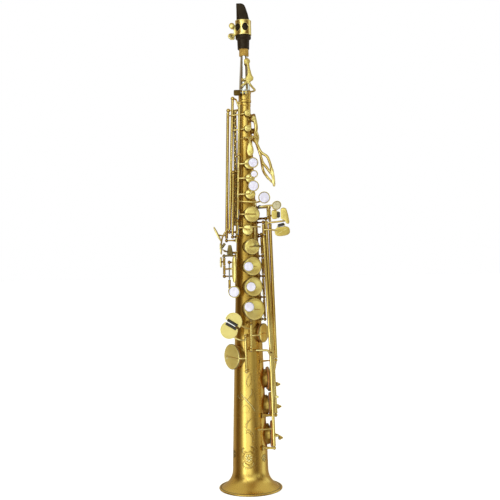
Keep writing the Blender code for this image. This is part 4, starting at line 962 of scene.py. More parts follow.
def build_mouthpiece():
    """Ebonite mouthpiece: shank, shoulder ring, barrel, flat table and curved beak."""
    beak = [(664, 10.4), (668, 9.5), (673, 8.2), (680, 6.5), (686.6, 4.3), (690.5, 2.7), (693.0, 1.2),
            (694.5, -1.2), (695.0, -3.6)]
    cheek = [(664, 10.4), (672, 9.3), (684, 7.4), (692, 6.5), (695.0, 5.9)]
    turned = [(630.0, 7.9), (630.6, 8.35), (643.0, 8.75), (643.6, 8.9), (645.0, 10.8), (645.6, 11.15), (648.2, 11.15),
              (648.8, 10.8), (649.4, BARREL_R), (672.0, BARREL_R), (695.0, BARREL_R)]
    heights = [630.0, 630.25, 630.6, 633, 637, 643.0, 643.6, 644.3, 645.0, 645.6, 647, 648.2, 648.8, 649.4, 655, 660]
    heights += [664 + 0.75 * i for i in range(41)] + [694.7, 695.0]
    rows = []
    for z in heights:
        r = between(turned, z)
        right, left, half = between(beak, z), -10.0 if z > 660 else -20.0, between(cheek, z) if z > 664 else 20
        row = []
        for j in range(96):
            turn = 2 * math.pi * j / 96
            x = BARREL_X + r * math.cos(turn)
            crest = right * (1 - 0.10 * math.sin(turn) ** 2) if z > 664 else 30
            row.append(Vector((max(left, min(x, crest)), max(-half, min(r * math.sin(turn), half)), z)))
        rows.append(row)
    piece = Piece("looks_mouthpiece", "body", ("mouthpiece",))
    piece.grid([row[::-1] for row in rows], EBONITE)
    item = piece.done(34)
    tool = Piece("window")
    tool.turned([(0.001, 34), (3.6, 34), (7.0, 8), (7.3, -4), (0.001, -4)], (-1.2, 0, 629.0), (-0.06, 0, 1), EBONITE, 40)
    mesh_window = tool.done()
    cut(item, mesh_window)
    tool = Piece("window")
    tool.pressed(oval(8.6, 25.0, 32, 5.0), 8.0, (-9.5, 0, 679.0), -RIGHT, EBONITE, BACK, 0.0, 0.2)
    cut(item, tool.done())


def build_ligature():
    piece = Piece("looks_ligature", "body", ("ligature",))
    rows = []
    open_half = 16.0
    for r, z in ((BARREL_R + 1.25, 671.0), (BARREL_R + 1.5, 670.2), (BARREL_R + 1.42, 669.4), (BARREL_R + 1.3, 665),
                 (BARREL_R + 1.35, 660), (BARREL_R + 1.4, 655), (BARREL_R + 1.5, 651.4), (BARREL_R + 1.6, 650.6),
                 (BARREL_R + 1.45, 649.9), (BARREL_R + 0.5, 649.9), (BARREL_R + 0.45, 671.0)):
        row = []
        for j in range(97):
            turn = math.radians(180 + open_half + (360 - 2 * open_half) * j / 96)
            row.append(Vector((BARREL_X + r * math.cos(turn), r * math.sin(turn), z)))
        rows.append(row)
    rows.append(rows[0])
    piece.grid(rows, TUBES, around_closed=False, caps=False)
    for y in (-3.0, 3.0):
        for x, z, tall in LIGATURE_LUGS:
            piece.pressed(oval(7.6, tall, 36, 3.2), 2.0, (x, y, z), -BACK, KEYS, crown=0.1, edge=0.5)
        piece.pressed(oval(3.0, 14.6, 28, 4.0), 1.6, (-12.6, y, 657.2), -BACK, KEYS, crown=0.1, edge=0.4)
    item = piece.done()
    for angle in (-44, 16, 164, 224):
        facing = outward(angle)
        tool = Piece("port")
        centre = Vector((BARREL_X, 0, 660.5)) + facing * 11.5
        tool.pressed(oval(9.4, 11.2, 40), 6.0, centre, facing, KEYS, crown=0.0, edge=0.1)
        cut(item, tool.done())
        rim = Piece("looks_ligature_port" + str((angle + 360) % 360))
        path = []
        for k in range(40):
            turn = 2 * math.pi * k / 40
            across, up = 4.8 * math.cos(turn), 5.65 * math.sin(turn)
            swing = math.radians(angle) + across / (BARREL_R + 1.3)
            path.append(Vector((BARREL_X + (BARREL_R + 1.4) * math.sin(swing),
                                -(BARREL_R + 1.4) * math.cos(swing), 660.5 + up)))
        rim.bent(path, 0.28, TUBES, 0.1, 8, closed=True)
        rim.done()
    for name, (x, z) in LIGATURE_SCREWS.items():
        screw = Piece("looks_" + name, name, (name,))
        screw.bar((x, 5.6, z), (x, -7.0, z), 0.9, STEEL, steps=16)
        screw.turned([(0.001, 2.5), (2.5, 2.5), (2.9, 2.85), (3.6, 2.6), (4.3, 1.8), (4.3, 0.7), (3.6, 0.0),
                      (0.001, 0.0)], (x, -6.6, z), -BACK, POSTS, 60, knurl=(3, 0.28, 4.1))
        # the lower screw's cap is in painted-shade brass, the upper one in key brass
        screw.turned([(0.001, 0.25), (2.0, 0.2), (2.3, 0.0), (0.001, 0.0)], (x, -9.15, z), -BACK,
                     KEYS if z > 655 else SHADOWED, 30)
        screw.done()


# ---------------------------------------------------------------- ribs and posts
def needle_springs(piece, line, heights, aim):
    """Blued needle springs from the posts to the keys above them."""
    for z in heights:
        piece.bent([on_rod(line, z) + aim * 1.6, on_rod(line, z + 8) + aim * 2.9, on_rod(line, z + 15) + aim * 2.6],
                   0.28, STEEL, 3.0, 6)


def build_ribs():
    left = Piece("looks_left_rib", "body", ("left_rib",))
    rib_strip(left, -85, 353.0, 552.0)
    for line, z, screw in ((SIDE_E, 543, 1), (SIDE_E, 356, -1), (SIDE_C, 368, -1), (SIDE_B, 453, 1), (SIDE_B, 361, -1)):
        post(left, -85, line, z, screw=screw)
    left.bent([surface(-85, 549, 1.2), (-12.4, -2.4, 558.4), SIDE_C[0]], POST_R, POSTS)
    left.ball(SIDE_C[0], 2.9, POSTS)
    left.ball(SIDE_E[0] + RIGHT * 0.6, 2.9, POSTS)
    for line in (SIDE_E, SIDE_C, SIDE_B):
        steel_rod(left, line)
    # rail in painted-shade brass with post heads along it, filling the gap beside the body
    rail = (Vector((-14.2, -3.0, 543.0)), Vector((-16.0, -3.8, 377.0)))
    left.bar(rail[1], rail[0], 2.3, SHADOWED, steps=16)
    for k in range(31):
        bead = rail[0].lerp(rail[1], (k + 0.5) / 31) + Vector((0.8 * (-1) ** k, -1.2, 0))
        left.ball(bead, 1.8 if k % 4 else 2.2, POSTS, steps=14)
    left.done()
    front = Piece("looks_front_rib", "body", ("front_rib",))
    rib_strip(front, -38, 359.0, 552.5)
    for z, screw in ((551, 1), (478, 0), (384, 0), (362, -1)):
        post(front, -38, UPPER, z, screw=screw)
    front.bent([surface(a, 501, 1.0) for a in range(-38, 36, 6)], 1.0, POSTS, 1.0)
    front.bar(UPPER[0], on_rod(UPPER, 478), 1.5, TUBES, steps=24)
    for angle, end in zip((-4, 28), cross_ends(FRONT_F_ANGLE, 501.0, 7.8, 6.2)):
        pillar(front, surface(angle, 501, 0.9), end, 1.05)
        front.ball(end, 1.5, POSTS, around(FRONT_F_ANGLE))
    steel_rod(front, UPPER)
    needle_springs(front, UPPER, (384, 362), Vector((0.6, -0.8, 0)))
    front.done()
    right = Piece("looks_right_rib", "body", ("right_rib",))
    rib_strip(right, 80, 240.0, 414.0)
    for z in (364, 333, 304.5, 274.5, 243):
        post(right, 80, LOWER, z, screw={364: 1, 243: -1}.get(z, 0))
    for line, z, screw in ((LOW_B, 386, 1), (LOW_CS, 402, 1), (TABLE_GS, 403, 1), (TABLE_GS, 387, -1),
                           (TABLE_BB, 381, 1), (TABLE_BB, 361, -1)):
        post(right, 80, line, z, screw=screw)
    for line in (LOWER, LOW_B, LOW_CS, TABLE_GS, TABLE_BB):
        steel_rod(right, line)
    needle_springs(right, LOWER, (243, 274.5, 304.5), Vector((-0.5, -0.86, 0)))
    right.done()
    lower = Piece("looks_lower_rib", "body", ("lower_rib",))
    rib_strip(lower, 45, 53.0, 203.0, height=0.4, mat=SATIN)
    rib_strip(lower, -4, 169.0, 243.0, 4.0, 0.6, SATIN)
    for line, z, radius in ((LOW_BB, 199, POST_R), (LOW_CS, 184, POST_R), (LOW_B, 107, 2.1), (LOW_BB, 61.4, 2.1)):
        post(lower, 45, line, z, radius, screw=1 if z == 199 else -1)
    for line, z, screw in ((E_FLAT, 240, 1), (E_FLAT, 202, -1), (LOW_C, 221, 1), (LOW_C, 172, -1)):
        post(lower, -4, line, z, screw=screw)
    lower.bent([surface(a, 200, 1.0) for a in range(-4, 50, 5)], 0.9, POSTS, 1.0)
    for line in (LOW_BB, E_FLAT, LOW_C):
        steel_rod(lower, line)
    lower.done()
    bracket = Piece("looks_lower_left_rib", "body", ("lower_left_rib",))
    rib_strip(bracket, -72, 282.0, 341.0)
    for line, z, screw in ((SHORT_F, 334, 1), (SHORT_F, 305, -1), (SHORT_T, 325, 1), (SHORT_T, 285, -1)):
        post(bracket, -72, line, z, screw=screw)
    pillar(bracket, surface(-72, 338, 0.9), Vector((-33.0, -9.4, 341.0)), 1.3)
    # plate, bars and guard of the bracket in painted-shade brass
    bracket.pressed(oval(9.0, 6.0, 36, 3.4), 1.6, (-31.5, -9.0, 341.5), (0.4, 0, 1), SHADOWED, crown=0.1)
    bracket.bent([(-35.0, -8.0, 333.5), (-27.0, -9.6, 334.6), (-20.4, -10.0, 335.5)], 1.3, SHADOWED)
    shape = rounded([(-4.8, -6.8, 0), (4.8, -6.8, 0), (2.0, 6.8, 0), (-2.4, 6.8, 0)], 1.4, 4, closed=True)
    bracket.pressed([(p.x, p.y) for p in shape], 2.0, (-24.4, -9.0, 342.8), -BACK, SHADOWED, crown=0.2)
    bracket.bent([(-36.4, -8.0, 345.6), (-34.2, -8.4, 348.4), (-31.8, -9.0, 351.6)], 2.0, SHADOWED)
    for line in (SHORT_F, SHORT_T):
        steel_rod(bracket, line)
    bracket.done()
    palm = Piece("looks_palm_posts", "body", ("palm_posts",))
    palm.bent([surface(a, 500, 1.0) for a in range(42, 136, 6)], 1.0, POSTS, 1.0)
    for name, (angle, z) in PALM_HINGES.items():
        for sign, end in zip((-1, 1), cross_ends(angle, z, 6.0, 4.6)):
            pillar(palm, surface(angle + sign * 12, 500, 0.9), end, 1.0)
            palm.ball(end, 1.9, POSTS, around(angle))
    palm.done()


# ---------------------------------------------------------------- upper keys
def palm_key(name, path, touch_at, facing, length, thick=2.2):
    angle, z = PALM_HINGES[name]
    a, b = cross_ends(angle, z, 6.0, 2.4)
    hole_angle, hole_z, _ = HOLES[name]
    piece = Piece("looks_" + name, name, (name,))
    piece.bar(a, b, 1.75, TUBES, steps=24)
    cup(piece, name, 3.2, 0.8)
    piece.bent([cup_top(name, 3.0), surface(hole_angle, (hole_z + z) / 2, 9.2), (a + b) / 2, *path, touch_at],
               1.9, TUBES, 6.0, 18, end_radius=2.0)
    piece.pressed(oval(8.0, length, 48, 2.2), thick, touch_at, facing, KEYS, BACK, 0.8, 0.8)
    piece.done()


def build_palm_keys():
    palm_key("palm_d", [(18.6, -9.0, 488), (23, -7.5, 480), (31, -7, 476), (35.5, -7, 464)],
             (38.6, -7, 446), (1.0, 0, 0.12), 28, 3.6)
    palm_key("palm_eb", [(21.0, 1.0, 480), (24.5, 2.5, 467), (29, 3.0, 462)], (36.0, 3.5, 452), (1.0, 0, 0.5), 17)
    palm_key("palm_f", [(21, 10.0, 486), (23.0, 13.0, 470), (25.5, 14, 455)], (33.0, 14.0, 445), (1.0, 0, 0.9), 18)
    piece = Piece("looks_front_f_lever", "front_f_lever", ("front_f_lever",))
    start, end = cross_ends(FRONT_F_ANGLE, 501.0, 7.8, 4.4)
    piece.bar(start, end, 1.6, TUBES, steps=24)
    piece.bent([(start + end) / 2, (5.6, -21.4, 498), (6.9, -23.6, 490)], 1.3, TUBES)
    piece.pressed(leaf(9.6, 20.0), 1.8, (6.9, -24.2, 484.6), (0.1, -1, 0.06), KEYS, crown=0.8)
    piece.done()


def stack_key(name, line, low, high, open_by, arm_from, gem=None, bow=2.6, linkage=()):
    """Cup, arm over it and pearl, swung open; the linkage is bent where it already stands."""
    angle, z, r = HOLES[name]
    piece = Piece("looks_" + name, name, (name,))
    hinge(piece, line, low, high)
    cup(piece, name)
    start, end = on_rod(line, arm_from), cup_top(name, ARM_RISE)
    middle = start.lerp(end, 0.45) + outward(angle) * bow
    tip = cup_top(name, ARM_RISE + 0.4, -r * 0.45 if start.x > 0 else r * 0.45)
    piece.bent([start, middle, end, tip] if not gem else [start, middle, end], 1.3, TUBES, 5.0, 16, end_radius=0.9)
    if gem:
        centre, facing, radius = Vector(gem[0]), Vector(gem[1]), gem[2]
        pearl(piece, name, centre, facing, radius, swing=(line, open_by))
        piece.bent([cup_top(name, ARM_RISE + 0.2), centre + BACK], 1.3, TUBES)
    piece.swing(line, open_by)
    for points, radius, mat in linkage:
        piece.bent(points, radius, mat, 1.5, 14)
    piece.done()


def build_upper_stack():
    face = (0.08, -1, 0.0)
    stack_key("stack_b", UPPER, 457, 474.5, -STACK_OPEN, 464.0, ((11.2, -20.9, 465), face, 6.5))
    stack_key("stack_c", UPPER, 437.5, 456.4, -STACK_OPEN, 443.6, ((12.2, -20.6, 449), face, 4.6))
    stack_key("stack_a", UPPER, 418.5, 436.9, -STACK_OPEN, 421.0, ((11.2, -22.0, 432.2), face, 7.0))
    piece = Piece("looks_stack_g", "stack_g", ("stack_g",))
    hinge(piece, UPPER, 387.2, 417.9)
    cup(piece, "stack_g")
    pearl(piece, "stack_g", Vector((25.6, -17.4, 415.6)), Vector((0.25, -1, 0)), 7.5, swing=(UPPER, -STACK_OPEN))
    piece.bent([on_rod(UPPER, 411), (-4, -23.0, 410.5), (10, -24.0, 409.3), (15.5, -19.6, 409.0),
                (19.5, -14.6, 410.5), (25.2, -15.7, 415.4)], 1.2, TUBES, 5.0, 16)
    piece.bent([on_rod(UPPER, 392.5), (-3.5, -24.5, 392.5), cup_top("stack_g", 4.6), cup_top("stack_g", 5.0, 5.0)],
               1.3, TUBES, 5.0, 16, end_radius=0.8)
    piece.swing(UPPER, -STACK_OPEN)
    piece.done()


def build_g_sharp():
    piece = Piece("looks_g_sharp_key", "g_sharp_key", ("g_sharp_key",))
    hinge(piece, UPPER, 365.3, 381.0)
    cup(piece, "g_sharp")
    piece.bent([on_rod(UPPER, 373.5), (-6, -23.0, 374), cup_top("g_sharp", 4.4), cup_top("g_sharp", 4.8, 3.0)],
               1.2, TUBES, 5.0, 16, end_radius=0.8)
    piece.done()
    piece = Piece("looks_g_sharp_touch", "g_sharp_touch", ("g_sharp_touch",))
    hinge(piece, TABLE_GS, 389.9, 400.1)
    pearl(piece, "g_sharp", Vector((42.6, -24.6, 404.2)), Vector((0.25, -1, 0.05)), 6.2, 0.86, 35,
          mat=AGED_NACRE)
    piece.bent([(18.6, -23.8, 402.6), (24, -24.0, 403.2), (31, -23.8, 404.2), (42.0, -23.8, 404.2)], 1.4, TUBES)
    piece.bent([on_rod(TABLE_GS, 397), (30.4, -24.4, 398.5), (31.5, -23.6, 404.2)], 1.3, TUBES)
    piece.turned([(0.001, 4.0), (2.4, 4.0), (2.6, 3.6), (2.6, 0.4), (2.3, 0.0), (0.001, 0.0)], (18.6, -21.0, 402.5),
                 -BACK, FELT, 32, soft=0.2)
    piece.done()


def side_key(name, line, low, high, hole, arms, blade=None, arm_r=0.9):
    piece = Piece("looks_" + name, name, (name,))
    hinge(piece, line, low, high)
    if hole:
        cup(piece, hole, 3.2, 0.8)
    for points, radius in arms:
        piece.bent(points, radius, TUBES, 4.0, 14)
    if blade:
        size, power, centre, facing = blade
        piece.pressed(oval(*size, 44, power), 1.7, centre, facing, KEYS, BACK, 0.6, 0.5)
    piece.done()


def build_side_keys():
    side_key("side_e", SIDE_E, 359.0, 540.0, "side_e",
             [([on_rod(SIDE_E, 534), (-23.8, -6, 534), (-18, -11.2, 534), (-8, -12.2, 535), cup_top("side_e", 3.0),
                cup_top("side_e", 3.7, 2.5)], 0.95),
              ([on_rod(SIDE_E, 363.5), (-35, 4.5, 363), (-41.0, 8.0, 364.5)], 1.1)],
             ((11.0, 24.0), 2.3, (-42.4, 8.0, 365.5), (-1.0, 0.15, -0.5)))
    side_key("side_c", SIDE_C, 370.8, 556.2, "side_c",
             [([on_rod(SIDE_C, 513), (-17, -11.2, 513), (-8, -12.6, 513.5), cup_top("side_c", 3.0),
                cup_top("side_c", 3.7, 2.5)], 0.95),
              ([on_rod(SIDE_C, 374), (-31.0, -8.0, 368), (-35.5, -4.0, 360), (-37.2, 1.0, 350)], 1.2)],
             ((11.0, 16.5), 2.6, (-37.6, 2.0, 344.3), (-1.0, 0.1, -0.06)))
    side_key("side_bb_key", SIDE_B, 363.8, 450.2, "side_bb",
             [([on_rod(SIDE_B, 444), (-18.4, -4.0, 444.5), cup_top("side_bb", 3.0)], ARM_R)])
    side_key("side_bb_touch", SHORT_F, 320.5, 331.2, None,
             [([on_rod(SHORT_F, 326), (-35.0, -2.0, 326), (-37.0, 2.0, 325)], 1.2)],
             ((11.0, 15.5), 2.6, (-37.8, 3.0, 325.0), (-1.0, 0.1, 0.0)))
    piece = Piece("looks_high_f_sharp_key", "high_f_sharp_key", ("high_f_sharp_key",))
    hinge(piece, SHORT_F, 308.0, 319.8)
    piece.bent([on_rod(SHORT_F, 315), (-24.0, -22.5, 316), (-19.6, -23.4, 316)], 1.3, TUBES)
    piece.pressed(oval(6.6, 38.0, 52, 2.2), 1.6, (-18.8, -23.8, 315.0), (-0.6, -1, 0), KEYS, crown=0.7)
    piece.done()
    piece = Piece("looks_trill_key", "trill_key", ("trill_key",))
    hinge(piece, SHORT_T, 288.0, 300.0)
    pearl(piece, "trill", Vector((-19.0, -26.6, 283.5)), Vector((-0.2, -1, 0)), 7.4)
    piece.bent([on_rod(SHORT_T, 292), (-24.0, -22.0, 290), (-20.4, -25.4, 285)], 1.3, TUBES)
    piece.done()


def build_lower_stack():
    links = [([(x, -24.2, 348.5), (x, -24.4, 362.0), (x, -24.0, 374.5)], 0.6, TUBES) for x in (11.0, 12.5)]
    # the adjusting arm over the G sharp cup is in painted-shade brass
    links += [([(23.4, -19.6, 347.2), (15.0, -23.8, 347.6), (4.6, -24.2, 347.0)], 1.0, SHADOWED),
              ([(5.2, -24.0, 374.2), (12.0, -24.8, 374.8), (19.6, -22.4, 374.2)], 1.0, TUBES)]
    stack_key("stack_fs", LOWER, 336.2, 359.3, STACK_OPEN, 347.0, bow=3.6, linkage=links)
    stack_key("stack_f", LOWER, 307.7, 329.8, STACK_OPEN, 317.0, ((-1.0, -26.6, 318.8), (-0.1, -1, 0), 6.6), 4.4)
    stack_key("stack_e", LOWER, 277.7, 301.3, STACK_OPEN, 288.5, ((2.0, -27.4, 290.4), (-0.05, -1, 0), 6.6), 4.4)
    stack_key("stack_d", LOWER, 246.2, 271.3, STACK_OPEN, 257.0, ((-1.2, -28.6, 262.4), (-0.1, -1, 0), 6.8), 5.2)


# ---------------------------------------------------------------- low keys
SLOT_TILT = -30.0


def split_touch(upper, radius=12.4, slot=1.7):
    """One little-finger touch: a disc cut straight along the slot between the two."""
    middle = 5.0 if upper else -9.0
    start = math.degrees(math.asin((slot - middle if upper else -slot - middle) / radius))
    sweep = 180 - 2 * start if upper else 180 + 2 * start
    points = []
    for i in range(57):
        angle = math.radians(start + sweep * i / 56 if upper else start - sweep * i / 56)
        points.append((radius * math.cos(angle), middle + radius * math.sin(angle)))
    ends = points[0], points[-1]
    points += [tuple(Vector(ends[1]).lerp(Vector(ends[0]), k / 12)) for k in range(1, 12)]
    turn = Matrix.Rotation(math.radians(SLOT_TILT), 2)
    points = [tuple(turn @ Vector(p)) for p in points]
    return points if upper else points[::-1]


def disc_roller(piece, centre, facing, offset):
    place = stand(centre, facing)
    turn = math.radians(SLOT_TILT)
    along = Vector((math.cos(turn), math.sin(turn), 0))
    across = Vector((-math.sin(turn), math.cos(turn), 0))
    ends = [place @ (across * offset + along * half + UP * 1.0) for half in (-8.2, 8.2)]
    roller(piece, ends[0], ends[1], 2.15, 9)


def build_pinky_keys():
    centre, facing = Vector((-22.8, -31.5, 238.2)), Vector((-0.25, -1, 0))
    piece = Piece("looks_e_flat_key", "e_flat_key", ("e_flat_key",))
    hinge(piece, E_FLAT, 205.0, 236.9)
    cup(piece, "e_flat")
    piece.pressed(split_touch(True), 1.8, centre, facing, TOUCHES, crown=0.4)
    disc_roller(piece, centre, facing, 2.65)
    piece.bent([(-15.5, -33.2, 240.5), (-9.0, -33.0, 236), (-1.5, -31.5, 232), on_rod(E_FLAT, 231.5)], 1.3, TUBES)
    piece.bent([on_rod(E_FLAT, 222), (12.0, -28.6, 222), cup_top("e_flat", 4.4, -5.0), cup_top("e_flat", 5.0, 4.0)],
               1.3, TUBES, 5.0, 16, end_radius=0.8)
    piece.done()
    piece = Piece("looks_low_c_key", "low_c_key", ("low_c_key",))
    hinge(piece, LOW_C, 175.0, 217.9)
    cup(piece, "low_c")
    piece.pressed(split_touch(False), 1.8, centre, facing, TOUCHES, crown=0.4)
    disc_roller(piece, centre, facing, -2.65)
    piece.bent([(-26.5, -30.5, 226.5), (-19.0, -31.0, 219), (-11.0, -32.6, 216), on_rod(LOW_C, 215.5)], 1.3, TUBES)
    piece.bent([on_rod(LOW_C, 190), (-14, -30.0, 190), cup_top("low_c", 4.6, 3.0), cup_top("low_c", 5.1, -10.0)],
               1.3, TUBES, 5.0, 16, end_radius=0.8)
    piece.swing(LOW_C, LOW_OPEN)
    piece.done()


# Low B touch of the left-hand table, seen from the front, about its own middle
TABLE_B_OUTLINE = ((-6.3, 9.6), (-3.2, 11.4), (1.6, 10.2), (4.2, 1.0), (6.0, -9.6), (4.6, -12.4), (1.4, -11.4),
                   (-1.0, -6.4), (-6.3, -5.2))


def low_key(name, line, low, high, hole, arms, open_by=0.0, plates=(), rollers=()):
    piece = Piece("looks_" + name, name, (name,))
    hinge(piece, line, low, high)
    if hole:
        cup(piece, hole)
    for points, radius in arms:
        piece.bent(points, radius, TUBES, 4.0, 14)
    for outline, at, facing, side in plates:
        piece.pressed(outline, 1.8, at, facing, LEVERS, side, 0.4, 0.5)
    for start, end in rollers:
        roller(piece, start, end, 2.1)
    if open_by:
        piece.swing(line, open_by)
    piece.done()


def build_low_keys():
    low_key("low_c_sharp_key", LOW_CS, 187.0, 379.0, "low_cs",
            [([on_rod(LOW_CS, 191), (39.0, 1.0, 180), (36.0, 4.0, 165), cup_top("low_cs", 4.4)], 1.3)])
    low_key("c_sharp_touch", LOW_CS, 382.5, 399.2, None,
            [([on_rod(LOW_CS, 390), (36.5, -14.0, 390.5), (39.4, -19.5, 391)], 1.3),
             ([(41.8, -20.4, 386.9), (45.4, -20.6, 386.9)], 0.8), ([(41.8, -20.4, 395.5), (45.4, -20.6, 395.5)], 0.8)],
            plates=[(oval(8.6, 13.0, 48, 3.6), (39.6, -20.0, 391.6), (0, -1, 0), RIGHT)],
            rollers=[((45.4, -20.6, 387.3), (45.4, -20.6, 395.1))])
    corners = [(x, z, 0) for x, z in TABLE_B_OUTLINE]
    outline = [(p.x, p.y) for p in rounded(corners, 2.6, 5, closed=True)][::-1]
    low_key("low_b_key", LOW_B, 109.9, 383.0, "low_b",
            [([on_rod(LOW_B, 119), (40.5, -4.0, 119), cup_top("low_b", 4.4), cup_top("low_b", 5.0, 6.0)], 1.3),
             ([on_rod(LOW_B, 379.3), (33.4, -16.6, 380.5), (46.0, -16.6, 381.5), (56.5, -17.0, 383.0),
               (57.5, -20.0, 384.0)], 1.3),
             ([on_rod(LOW_B, 133), on_rod(LOW_B, 133) + Vector((4.5, -1.0, 0))], 1.8)],
            -LOW_OPEN, [(outline, (55.2, -20.4, 390.0), (0.05, -1, 0), RIGHT)])
    low_key("low_bb_key", LOW_BB, 64.3, 196.0, "low_bb",
            [([on_rod(LOW_BB, 77), (40.6, -9.0, 77), cup_top("low_bb", 4.4), cup_top("low_bb", 5.0, 6.0)], 1.3),
             ([on_rod(LOW_BB, 193), (30.4, -25.0, 194.0), (28.0, -26.4, 201.0), (11.0, -27.4, 200.8)], 1.4),
             ([on_rod(LOW_BB, 89), (24.0, -24.5, 89), (12.0, -28.0, 89)], 1.1)], -LOW_OPEN)
    low_key("bb_touch", TABLE_BB, 364.0, 378.0, None,
            [([on_rod(TABLE_BB, 370.5), (33.0, -21.6, 370.5), (44.0, -20.6, 368.5)], 1.3),
             ([(43.6, -20.5, 373.0), (43.6, -20.8, 375.6)], 0.8), ([(53.6, -20.6, 375.0), (53.6, -21.1, 378.0)], 0.8)],
            plates=[(oval(21.7, 13.4, 56, 2.8), (50.3, -20.2, 367.8), (0.04, -1, 0), (1, 0, 0.12))],
            rollers=[((44.2, -20.9, 375.8), (53.0, -21.2, 377.9))])


def build_guard():
    piece = Piece("looks_low_key_guard", "body", ("low_key_guard",))
    rib_strip(piece, 150, 60.0, 160.0)
    for z, reach in ((148.0, 45.0), (116.0, 46.0), (71.0, 47.5)):
        piece.bent([surface(150, z, 1.0), (20.0, 33.0, z), (34.0, 24.0, z), (reach - 3.4, 12.0, z),
                    (reach - 3.4, 3.0, z)], 1.4, POSTS, 7.0, 16)
        # dark plate behind each low cup: painted shade seen through the gap between chimney and pad
        piece.pressed(oval(8.0, 27.0, 40, 3.0), 1.2, (29.5, 25.6, z), -BACK, SHADOWED, crown=0.1)
        piece.turned([(0.001, 5.4), (0.9, 5.3), (1.3, 4.7), (3.0, 1.3), (3.3, 0.8), (3.3, 0.2), (2.8, -0.2),
                      (0.001, -0.2)], (reach - 5.4, 3.0, z), RIGHT, POSTS, 36, soft=0.2)
        piece.turned([(0.001, 0), (2.7, 0), (2.5, -1.3), (0.001, -1.5)], (reach - 5.6, 3.0, z), RIGHT, FELT, 28)
    piece.done()


# ---------------------------------------------------------------- back furniture
def build_back():
    foot = surface(180, 424, GAP + 0.8)
    piece = Piece("looks_thumb_rest", "body", ("thumb_rest",))
    rib_strip(piece, 180, 414.0, 434.0, 6.0, 1.6)
    piece.turned([(0.001, 2.2), (3.4, 2.1), (6.4, 1.4), (7.5, 0.5), (7.5, -0.4), (6.9, -0.8), (0.001, -0.8)],
                 (0, foot.y + 4.2, 424.0), BACK, ROLLER, 48, soft=0.3)
    piece.bar(foot, foot + Vector((0, 3.6, 0)), 2.4, POSTS, steps=24)
    piece.done()
    piece = Piece("looks_back_rib", "body", ("back_rib",))
    rib_strip(piece, -152, 428.0, 552.0, 3.6)
    post(piece, -152, THUMB, 551, screw=1)
    post(piece, -152, THUMB, 431, screw=-1)
    steel_rod(piece, THUMB)
    piece.done()
    piece = Piece("looks_thumb_octave_lever", "thumb_octave_lever", ("thumb_octave_lever",))
    hinge(piece, THUMB, 434.0, 548.0)
    piece.pressed(oval(13.0, 17.0, 48, 2.5), 1.8, (1.5, 25.0, 447.0), BACK, KEYS, crown=0.7)
    piece.bent([on_rod(THUMB, 446), (-6.0, 23.5, 446), (-1.0, 24.8, 446)], 1.3, KEYS)
    piece.bent([on_rod(THUMB, 545), (-5.5, 19.5, 549), (-5.0, 19.0, 558), (-3.5, 15.2, 567)], 1.3, KEYS)
    piece.done()
    piece = Piece("looks_strap_ring", "body", ("strap_ring",))
    rib_strip(piece, 180, 322.0, 342.0, 8.0, 1.8)
    piece.bent([(0, 24.6 + 7.0 * math.cos(t), 332 + 7.0 * math.sin(t))
                for t in (2 * math.pi * i / 60 for i in range(60))], 1.6, POSTS, 0.2, 20, closed=True)
    piece.done()
    piece = Piece("looks_thumb_hook", "body", ("thumb_hook",))
    rib_strip(piece, 180, 252.0, 276.0, 9.0, 1.8)
    piece.bent([surface(180, 270, 0.6), (0, 32.0, 271), (1.0, 40.5, 268), (2.0, 43.2, 256)], 2.4, POSTS, 8.0, 24)
    piece.done()


# ---------------------------------------------------------------- studio
# brightness of the room by azimuth: 0 is the camera's side, + is to its right
ROOM = ((-180, 0.42), (-126, 0.46), (-112, 0.30), (-102, 0.14), (-84, 0.13), (-66, 0.30), (-55, 0.62), (-46, 1.3),
        (-42, 3.2), (-35, 3.2), (-31, 1.4), (-8, 1.5), (1, 1.3), (10, 0.62), (20, 0.27), (34, 0.13), (50, 0.10),
        (58, 0.26), (66, 0.50), (78, 0.50), (84, 0.95), (102, 0.95), (114, 0.6), (126, 0.35), (180, 0.42))
# the same for what stands level with the camera: the keys of both stacks and the tables
KEY_ROOM = ((-180, 0.40), (-120, 0.42), (-108, 0.10), (-66, 0.10), (-52, 0.55), (-42, 0.60), (-34, 0.9), (-26, 0.6),
            (-14, 0.45), (0, 0.34), (12, 0.40), (20, 0.85), (34, 0.80), (40, 0.45), (46, 0.85), (58, 0.80),
            (66, 0.20), (84, 0.08), (98, 0.45), (120, 0.40), (180, 0.40))
CEILING = ((-180, 0.6), (-70, 0.62), (-30, 0.50), (-5, 0.34), (25, 0.32), (50, 0.55), (90, 0.66), (180, 0.6))
BRIGHTEST = 6.0


def flats(tree, turn, levels):
    """Ring of flats round the stand: warm where they are dark, cool where they are lit."""
    stops = []
    for degrees, level in levels:
        green, blue = min(1.22, 0.56 + 0.78 * level), min(1.3, 0.15 + 1.2 * level)
        stops.append(((degrees + 180) / 360, tuple(level * tint / BRIGHTEST for tint in (1.0, green, blue))))
    return graded(tree, turn, stops)


def ranged(tree, source, low, high, to_low, to_high):
    made = add_node(tree, "ShaderNodeMapRange", **{"From Min": low, "From Max": high, "To Min": to_low,
                                                  "To Max": to_high})
    tree.links.new(source, made.inputs["Value"])
    return made.outputs["Result"]


